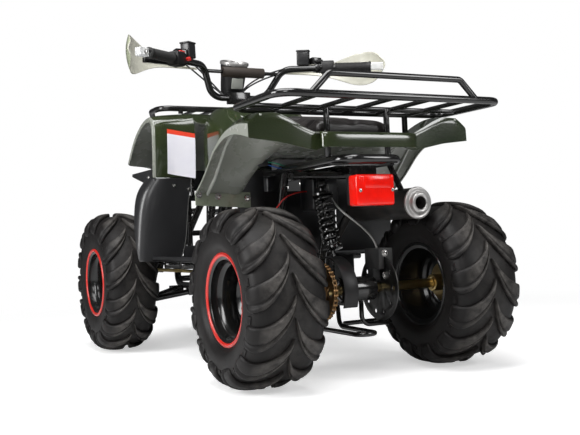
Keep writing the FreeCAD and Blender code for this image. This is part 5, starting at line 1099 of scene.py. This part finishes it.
# tail lamp: dark base, moulded lens with a raised window and two screws
lampSize = {"base": ((-0.056, 0.598, 0.450), (0.056, 0.614, 0.524), 0.003),
            "lens": ((-0.058, 0.612, 0.447), (0.058, 0.654, 0.527), 0.007, 4),
            "window": ((-0.044, 0.6525, 0.491), (0.034, 0.656, 0.522), 0.0015),
            "screws": ((0.047, 0.6538, 0.486), (-0.051, 0.6538, 0.486)), "screwHead": (0.0032, 0.0018, 16)}
base = smooth(block(*lampSize["base"]))
finishPiece(base, looks["plastic"], "chassis")
base.name = "lampBase"
lamp = joined("lampLens", [smooth(block(*lampSize[part])) for part in ("lens", "window")])
finishPiece(lamp, looks["lampRed"], "chassis", ["tail_lamp"])
screws = [boltHead("lampScrew", place, (0, 1, 0), *lampSize["screwHead"]) for place in lampSize["screws"]]
finishPiece(joined("lampScrews", screws), looks["bolt"], "chassis")

# bright end cap and mouth of the silencer
tip = {"place": (-0.150, 0.621, 0.451),
       "cap": [(0.0006, 0.0425), (0.0048, 0.0412), (0.0058, 0.0385), (0.0040, 0.0350), (0.0044, 0.0310),
               (0.0070, 0.0275), (0.0164, 0.0264), (0.0184, 0.0232), (0.0172, 0.0190), (0.0140, 0.0184),
               (0.0140, 0.0168), (0.0182, 0.0170),
               (0.0205, 0.0230), (0.0182, 0.0282), (0.0086, 0.0296), (0.0066, 0.0318), (0.0062, 0.0345),
               (0.0080, 0.0388), (0.0064, 0.0430), (0.0006, 0.0440)]}
cap = smooth(subdivide(turnedOn("silencerCap", tip["cap"], tip["place"], (0, 1, 0), 64), 1), 60)
finishPiece(cap, looks["chrome"], "chassis")

# speedometer: tall pod, bright ring, dark glass over a plain dial, small pale plate on its back
pod = {"start": (-0.004, -0.236, 0.862), "tilt": 19,
       "body": [(0, 0.0), (0, 0.029), (0.010, 0.037), (0.050, 0.041), (0.090, 0.0435), (0.112, 0.0465),
                (0.119, 0.0465), (0.119, 0.0425), (0.114, 0.0405), (0.114, 0.0)],
       "ring": [(0.1175, 0.0450), (0.1180, 0.0492), (0.1230, 0.0502), (0.1280, 0.0488), (0.1290, 0.0455),
                (0.1265, 0.0434), (0.1205, 0.0434)],
       "glass": [(0.1205, 0.0), (0.1205, 0.0440), (0.1235, 0.0440), (0.1245, 0.0)],
       "dial": [(0.1135, 0.0), (0.1135, 0.0415), (0.1160, 0.0415), (0.1160, 0.0)],
       "plate": ((-0.021, -0.0015, -0.018), (0.021, 0.0025, 0.018), 0.0015),
       "platePlace": (-0.004, -0.1785, 0.905),
       "foot": ((0, -0.196, 0.846), (-0.003, -0.230, 0.874), 0.011)}
tilt = math.radians(pod["tilt"])
podWay = (0, math.sin(tilt), math.cos(tilt))
for part, look, name in (("body", "plastic", "gaugePod"), ("ring", "chrome", "gaugeRing"),
                         ("glass", "gaugeGlass", "gaugeGlass"), ("dial", "innerPale", "gaugeDial")):
    piece = smooth(turnedOn(name, pod[part], pod["start"], podWay, 64), 40)
    finishPiece(piece, looks[look], "steering")
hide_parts("gauge")
plate = block(*pod["plate"])
plate.data.transform(Matrix.Translation(pod["platePlace"]) @ Matrix.Rotation(-tilt, 4, "X"))
plate.name = "gaugePlate"
finishPiece(smooth(plate), looks["innerPale"], "steering")
foot = smooth(cylinder(*pod["foot"]))
foot.name = "gaugeFoot"
finishPiece(foot, looks["plastic"], "steering")

# switches, reservoirs and cables on the bar
switchShape = {"middle": (0.250, -0.035, 0.9433), "slider": ((-0.012, -0.007, -0.004), (0.012, 0.007, 0.005)),
               "above": 0.0245, "button": (0.020, 0.032), "radius": 0.0065, "edge": 0.001}
reservoirShape = {"place": {"left": (0.214, -0.068, 0.991), "right": (-0.206, -0.068, 0.991)},
                  "cup": ((-0.021, -0.016, -0.034), (0.021, 0.016, 0.014), 0.004, 3),
                  "lid": ((-0.0225, -0.0175, 0.012), (0.0225, 0.0175, 0.0180))}
cableShape = {
    "radius": 0.0027, "kinds": ((0.0, 0.0), (0.012, 0.022)),
    # point of the first cable, and how the second's drop and reach move it
    "line": [((0.240, -0.052, 0.952), (0, 0, 1)), ((0.205, -0.100, 0.962), (0, 1, 1)),
             ((0.150, -0.170, 0.957), (0, 1, 1)), ((0.090, -0.222, 0.930), (0, 0.4, 1)),
             ((0.045, -0.236, 0.893), (0.3, 0, 0)),
             ((0.026, -0.214, 0.862), (0, 0, 0)), ((0.020, -0.186, 0.846), (0, 0, 0))],
}
for sideName, side in (("left", 1), ("right", -1)):
    start, way, end = bar[sideName]
    size = switchShape
    middle = Vector((side * size["middle"][0], size["middle"][1], size["middle"][2]))
    across = Vector((-way.y, way.x, 0)).normalized() * side
    slider = block(*size["slider"])
    slider.data.transform(Matrix.Translation(middle + Vector((0, 0, size["above"]))) @ turnTo(way))
    button = cylinder(*(middle + across * reach for reach in size["button"]), size["radius"])
    switches = joined("switches_" + sideName, [smooth(slider), smooth(bevel(button, size["edge"]))])
    finishPiece(switches, looks["red" if side > 0 else "plastic"], "steering")
    cup, lid = block(*reservoirShape["cup"]), block(*reservoirShape["lid"])
    for piece in (cup, lid):
        piece.data.transform(Matrix.Translation(reservoirShape["place"][sideName]) @ turnTo(way))
    reservoir = joined("reservoir_" + sideName, [smooth(cup), smooth(lid)])
    finishPiece(reservoir, looks["satin"], "steering")
    for k, (drop, reach) in enumerate(cableShape["kinds"]):
        line = [(side * (x + reach * a), y - reach * b, z - drop * c)
                for (x, y, z), (a, b, c) in cableShape["line"]]
        cable = tubeAlong("barCable%d_%s" % (k, sideName), line, cableShape["radius"], order=4)
        finishPiece(cable, looks["hose"], "steering")

# wires and the rear brake hose
wires = {
    # name: look, radius, line
    "wireBlue": ("wireBlue", 0.0016, [(0.176, 0.345, 0.5815), (0.150, 0.352, 0.5780), (0.122, 0.350, 0.5670),
                                      (0.098, 0.330, 0.5690), (0.080, 0.300, 0.5800)]),
    "wireGreen": ("wireGreen", 0.0016, [(0.176, 0.355, 0.5850), (0.148, 0.362, 0.5850),
                                        (0.118, 0.360, 0.5770), (0.094, 0.335, 0.5750),
                                        (0.070, 0.300, 0.5840)]),
    "wireRed": ("wireRed", 0.0020, [(0.092, 0.196, 0.430), (0.096, 0.270, 0.452), (0.092, 0.300, 0.481),
                                    (0.062, 0.305, 0.498), (0.022, 0.300, 0.505), (-0.004, 0.290, 0.505)]),
    "brakeHose": ("edgeGrey", 0.0028, [(-0.077, 0.530, 0.325), (-0.080, 0.522, 0.350), (-0.070, 0.490, 0.385),
                                       (-0.045, 0.450, 0.420), (-0.026, 0.405, 0.455), (-0.024, 0.372, 0.492),
                                       (-0.024, 0.366, 0.520)]),
}
caliperShape = {"bolts": ((-0.077, 0.5648, 0.3215), (-0.077, 0.5648, 0.2615)), "height": 0.005}
for name, (look, radius, line) in wires.items():
    finishPiece(tubeAlong(name, line, radius, order=4), looks[look], "chassis")
caliperBolts = [boltHead("bolt", place, (0, 1, 0), height=caliperShape["height"])
                for place in caliperShape["bolts"]]
finishPiece(joined("caliperBolts", caliperBolts), looks["bolt"], "chassis")

# rear spring as a true coil round its damper
shock = {"foot": (0, 0.430, 0.300), "top": (0, 0.372, 0.520), "coil": 0.0245, "wire": 0.0045, "turns": 7.5,
         "points": 12,
         "from": 0.19, "to": 0.83, "eye": 0.013, "eyeHalf": 0.012, "eyeEdge": 0.001, "rod": 0.007,
         # share of the length, radius
         "damper": [(0.14, 0.0), (0.14, 0.0165), (0.16, 0.0295), (0.185, 0.0295), (0.195, 0.0170),
                    (0.56, 0.0170), (0.58, 0.0140), (0.58, 0.0)],
         "seat": [(0.80, 0.0), (0.80, 0.0150), (0.835, 0.0160), (0.84, 0.0295), (0.865, 0.0295),
                  (0.90, 0.0160), (0.90, 0.0)]}
foot, top = Vector(shock["foot"]), Vector(shock["top"])
way, length = (top - foot).normalized(), (top - foot).length
sideWay = Vector((1, 0, 0))
third = way.cross(sideWay)
line = []
for k in range(int(shock["turns"] * shock["points"]) + 1):
    angle = 2 * math.pi * k / shock["points"]
    share = shock["from"] + (shock["to"] - shock["from"]) * k / (shock["turns"] * shock["points"])
    out = (sideWay * math.cos(angle) + third * math.sin(angle)) * shock["coil"]
    line.append(foot + way * length * share + out)
pieces = [tubeAlong("coil", line, shock["wire"], resolution=3)]
for part in ("damper", "seat"):
    outline = [(x * length, r) for x, r in shock[part]]
    pieces.append(smooth(turnedOn(part, outline, foot, way, 40), 40))
pieces.append(smooth(cylinder(foot, top, shock["rod"], 24)))
for place in (foot, top):
    halfEye = sideWay * shock["eyeHalf"]
    pieces.append(smooth(bevel(cylinder(place - halfEye, place + halfEye, shock["eye"], 32),
                               shock["eyeEdge"])))
finishPiece(joined("rearShockCoil", pieces), looks["black"], "chassis", ["rear_shock"])

# drive chain as single links over both sprockets
chainLine = {"x": 0.104, "front": (0.145, 0.2465, 0.0285), "rear": (0.530, 0.2285, 0.0729), "pitch": 0.0127,
             "plate": 0.0042, "gauge": 0.0022, "half": 0.0062, "roller": 0.0039, "rollerHalf": 0.004,
             "overlap": 0.95, "waist": 0.7, "edge": 0.0003, "steps": (24, 48)}
ya, za, ra = chainLine["front"]
yb, zb, rb = chainLine["rear"]
reach = math.hypot(yb - ya, zb - za)
slope = math.atan2(zb - za, yb - ya)
lean = math.asin((rb - ra) / reach)
path = []
upper = slope + math.pi / 2 + lean
lower = slope - math.pi / 2 - lean
frontSteps, rearSteps = chainLine["steps"]
for k in range(frontSteps + 1):
    angle = upper + (lower + 2 * math.pi - upper) * k / frontSteps
    path.append((ya + ra * math.cos(angle), za + ra * math.sin(angle)))
for k in range(rearSteps + 1):
    angle = lower + (upper - lower) * k / rearSteps
    path.append((yb + rb * math.cos(angle), zb + rb * math.sin(angle)))
path.append(path[0])
loop = [(0, y, z) for y, z in path]
total = sum((Vector(b) - Vector(a)).length for a, b in zip(loop, loop[1:]))
count = 2 * round(total / chainLine["pitch"] / 2)
# an outer and an inner link are made once and copied by turns
linkKinds = []
rollerHalf, waist = chainLine["rollerHalf"], chainLine["plate"] * chainLine["waist"]
for across in (chainLine["half"], chainLine["half"] - chainLine["gauge"] * chainLine["overlap"]):
    parts = [cylinder((-rollerHalf, 0, 0), (rollerHalf, 0, 0), chainLine["roller"], 12)]
    for side in (1, -1):
        x = side * (across - chainLine["gauge"] / 2)
        low, high = x - chainLine["gauge"] / 2, x + chainLine["gauge"] / 2
        for y in (0, chainLine["pitch"]):
            parts.append(cylinder((low, y, 0), (high, y, 0), chainLine["plate"], 10))
        parts.append(block((low, 0, -waist), (high, chainLine["pitch"], waist), chainLine["edge"], 1))
    linkKinds.append(smooth(joined("link", parts)))
links = []
for k in range(count):
    place, _ = along(loop, k / count)
    after, _ = along(loop, ((k + 1) % count) / count)
    turn = Matrix.Rotation(math.atan2(after.z - place.z, after.y - place.y), 4, "X")
    mesh = linkKinds[k % 2].data.copy()
    mesh.transform(Matrix.Translation((chainLine["x"], place.y, place.z)) @ turn)
    link = bpy.data.objects.new("link", mesh)
    bpy.context.scene.collection.objects.link(link)
    links.append(link)
for kind in linkKinds:
    bpy.data.objects.remove(kind)
finishPiece(joined("chainLinks", links), looks["chainSteel"], "chassis", ["chain"])
print("fittings ready", count, "links")


# the other pieces keep the construction's own form, with rounded edges and smooth tubes
dressing = {"edge": 0.0008, "edgeAngle": 40, "smoothAngle": 30, "merge": 0.00001, "flatAngle": 1}


def dressed(node):
    source = frame["nodes"][node]
    piece = bpy.data.objects.new(node + "_dressed", source.data.copy())
    bpy.context.scene.collection.objects.link(piece)
    choose(piece)
    bpy.ops.object.mode_set(mode="EDIT")
    bpy.ops.mesh.select_all(action="SELECT")
    bpy.ops.mesh.remove_doubles(threshold=dressing["merge"])
    bpy.ops.mesh.dissolve_limited(angle_limit=math.radians(dressing["flatAngle"]))
    bpy.ops.object.mode_set(mode="OBJECT")
    bevel(piece, dressing["edge"], 2, dressing["edgeAngle"])
    smooth(piece, dressing["smoothAngle"])
    return finishPiece(piece, looks[lookOfSlot[slotOf[node]]], bodyOf[node], [node])


modelled = {"rear_tyre_left", "rear_tyre_right", "front_tyre_left", "front_tyre_right", "rear_rim_left",
            "rear_rim_right",
            "front_rim_left", "front_rim_right", "rear_fender", "front_fender", "tank_cowl", "seat",
            "footwell_left",
            "footwell_right", "grips", "handguards", "tail_lamp", "gauge", "rear_shock", "chain"}
kept = [node for node in sorted(frame["nodes"]) if node not in modelled]
for node in kept:
    dressed(node)
print("construction dressed", len(kept))


# camera at the photograph's place
camera = {"place": (1.1901, 2.4415, 0.3911), "yaw": 27.703, "pitch": 0.926, "roll": -2.532,
          "focal": 838.7, "across": 580, "sensor": 36}
yaw, pitch, roll = (math.radians(camera[key]) for key in ("yaw", "pitch", "roll"))
ahead = Vector((-math.sin(yaw) * math.cos(pitch), -math.cos(yaw) * math.cos(pitch), math.sin(pitch)))
right = ahead.cross(Vector((0, 0, 1))).normalized()
up = right.cross(ahead)
right, up = math.cos(roll) * right + math.sin(roll) * up, -math.sin(roll) * right + math.cos(roll) * up
cameraData = bpy.data.cameras.new("view")
cameraData.sensor_width = camera["sensor"]
cameraData.lens = camera["focal"] / camera["across"] * cameraData.sensor_width
cameraData.clip_start = 0.05
cameraData.clip_end = 100
viewer = bpy.data.objects.new("view", cameraData)
bpy.context.scene.collection.objects.link(viewer)
viewer.matrix_world = Matrix((
    (right.x, up.x, -ahead.x, camera["place"][0]),
    (right.y, up.y, -ahead.y, camera["place"][1]),
    (right.z, up.z, -ahead.z, camera["place"][2]),
    (0, 0, 0, 1)))
bpy.context.scene.camera = viewer

# studio: a pale floor that fades to pure white, and four soft boxes
studio = {
    "worldTone": (0.9, 0.92, 0.95, 1), "worldLight": 0.08, "floorSize": 40, "floorTone": 0.80,
    "floorRough": 0.8,
    "floorSheen": 0.1, "floorGlow": 0.50, "shadowTo": 0.9, "whiteFrom": 2.6,
    # place, aim, width and height, power
    "lights": {"topBox": ((0.5, 0.8, 3.0), (0, 0, 0.5), (2.0, 2.0), 90),
               "leftBox": ((3.0, 0.5, 1.6), (0, 0.1, 0.5), (1.1, 1.8), 85),
               "rearBox": ((1.9, 3.2, 2.3), (0, 0.2, 0.5), (1.2, 1.2), 30),
               "backBox": ((-1.8, 3.0, 1.9), (0, 0.2, 0.5), (0.9, 1.4), 34)},
}
bpy.context.scene.view_settings.view_transform = "Standard"
world = bpy.data.worlds.new("studio")
bpy.context.scene.world = world
world.use_nodes = True
wNodes, wLinks = world.node_tree.nodes, world.node_tree.links
wNodes["Background"].inputs["Color"].default_value = studio["worldTone"]
wNodes["Background"].inputs["Strength"].default_value = studio["worldLight"]
white = wNodes.new("ShaderNodeBackground")
white.inputs["Color"].default_value = grey(1)
white.inputs["Strength"].default_value = 1.0
path = wNodes.new("ShaderNodeLightPath")
mixed = wNodes.new("ShaderNodeMixShader")
seen = wNodes.new("ShaderNodeMath")
seen.operation = "MAXIMUM"
wLinks.new(path.outputs["Is Camera Ray"], seen.inputs[0])
wLinks.new(path.outputs["Is Transmission Ray"], seen.inputs[1])
wLinks.new(seen.outputs[0], mixed.inputs["Fac"])
wLinks.new(wNodes["Background"].outputs["Background"], mixed.inputs[1])
wLinks.new(white.outputs["Background"], mixed.inputs[2])
wLinks.new(mixed.outputs["Shader"], wNodes["World Output"].inputs["Surface"])

deselect()
bpy.ops.mesh.primitive_plane_add(size=studio["floorSize"], location=(0, 0, 0))
floor = bpy.context.object
floor.name = "floor"
floorLook, fNodes, fLinks, fShader, fPlace = nodeSet("paleFloor")
fShader.inputs["Base Color"].default_value = grey(studio["floorTone"])
fShader.inputs["Roughness"].default_value = studio["floorRough"]
fShader.inputs["Specular IOR Level"].default_value = studio["floorSheen"]
glow = fNodes.new("ShaderNodeEmission")
glow.inputs["Color"].default_value = grey(1)
glow.inputs["Strength"].default_value = studio["floorGlow"]
plainWhite = fNodes.new("ShaderNodeEmission")
plainWhite.inputs["Color"].default_value = grey(1)
plainWhite.inputs["Strength"].default_value = 1.0
lit = fNodes.new("ShaderNodeAddShader")
fLinks.new(fShader.outputs["BSDF"], lit.inputs[0])
fLinks.new(glow.outputs["Emission"], lit.inputs[1])
away = vectorNode(fNodes, fLinks, "LENGTH", fPlace)
fade = fNodes.new("ShaderNodeMapRange")
fade.interpolation_type = "SMOOTHSTEP"
fade.inputs["From Min"].default_value = studio["shadowTo"]
fade.inputs["From Max"].default_value = studio["whiteFrom"]
fLinks.new(away.outputs["Value"], fade.inputs["Value"])
nearAndFar = fNodes.new("ShaderNodeMixShader")
fLinks.new(fade.outputs["Result"], nearAndFar.inputs["Fac"])
fLinks.new(lit.outputs["Shader"], nearAndFar.inputs[1])
fLinks.new(plainWhite.outputs["Emission"], nearAndFar.inputs[2])
# only the camera sees the white; the model is lit by the plain floor
shownOnly = fNodes.new("ShaderNodeMixShader")
fPath = fNodes.new("ShaderNodeLightPath")
fLinks.new(fPath.outputs["Is Camera Ray"], shownOnly.inputs["Fac"])
fLinks.new(fShader.outputs["BSDF"], shownOnly.inputs[1])
fLinks.new(nearAndFar.outputs["Shader"], shownOnly.inputs[2])
fLinks.new(shownOnly.outputs["Shader"], fNodes["Material Output"].inputs["Surface"])
floor.data.materials.append(floorLook)


def softLight(name, place, aim, size, power):
    data = bpy.data.lights.new(name, "AREA")
    data.shape = "RECTANGLE"
    data.size, data.size_y = size
    data.energy = power
    lamp = bpy.data.objects.new(name, data)
    bpy.context.scene.collection.objects.link(lamp)
    lamp.location = place
    lamp.rotation_mode = "QUATERNION"
    lamp.rotation_quaternion = (Vector(aim) - Vector(place)).to_track_quat("-Z", "Y")


for name, settings in studio["lights"].items():
    softLight(name, *settings)
print("studio ready")
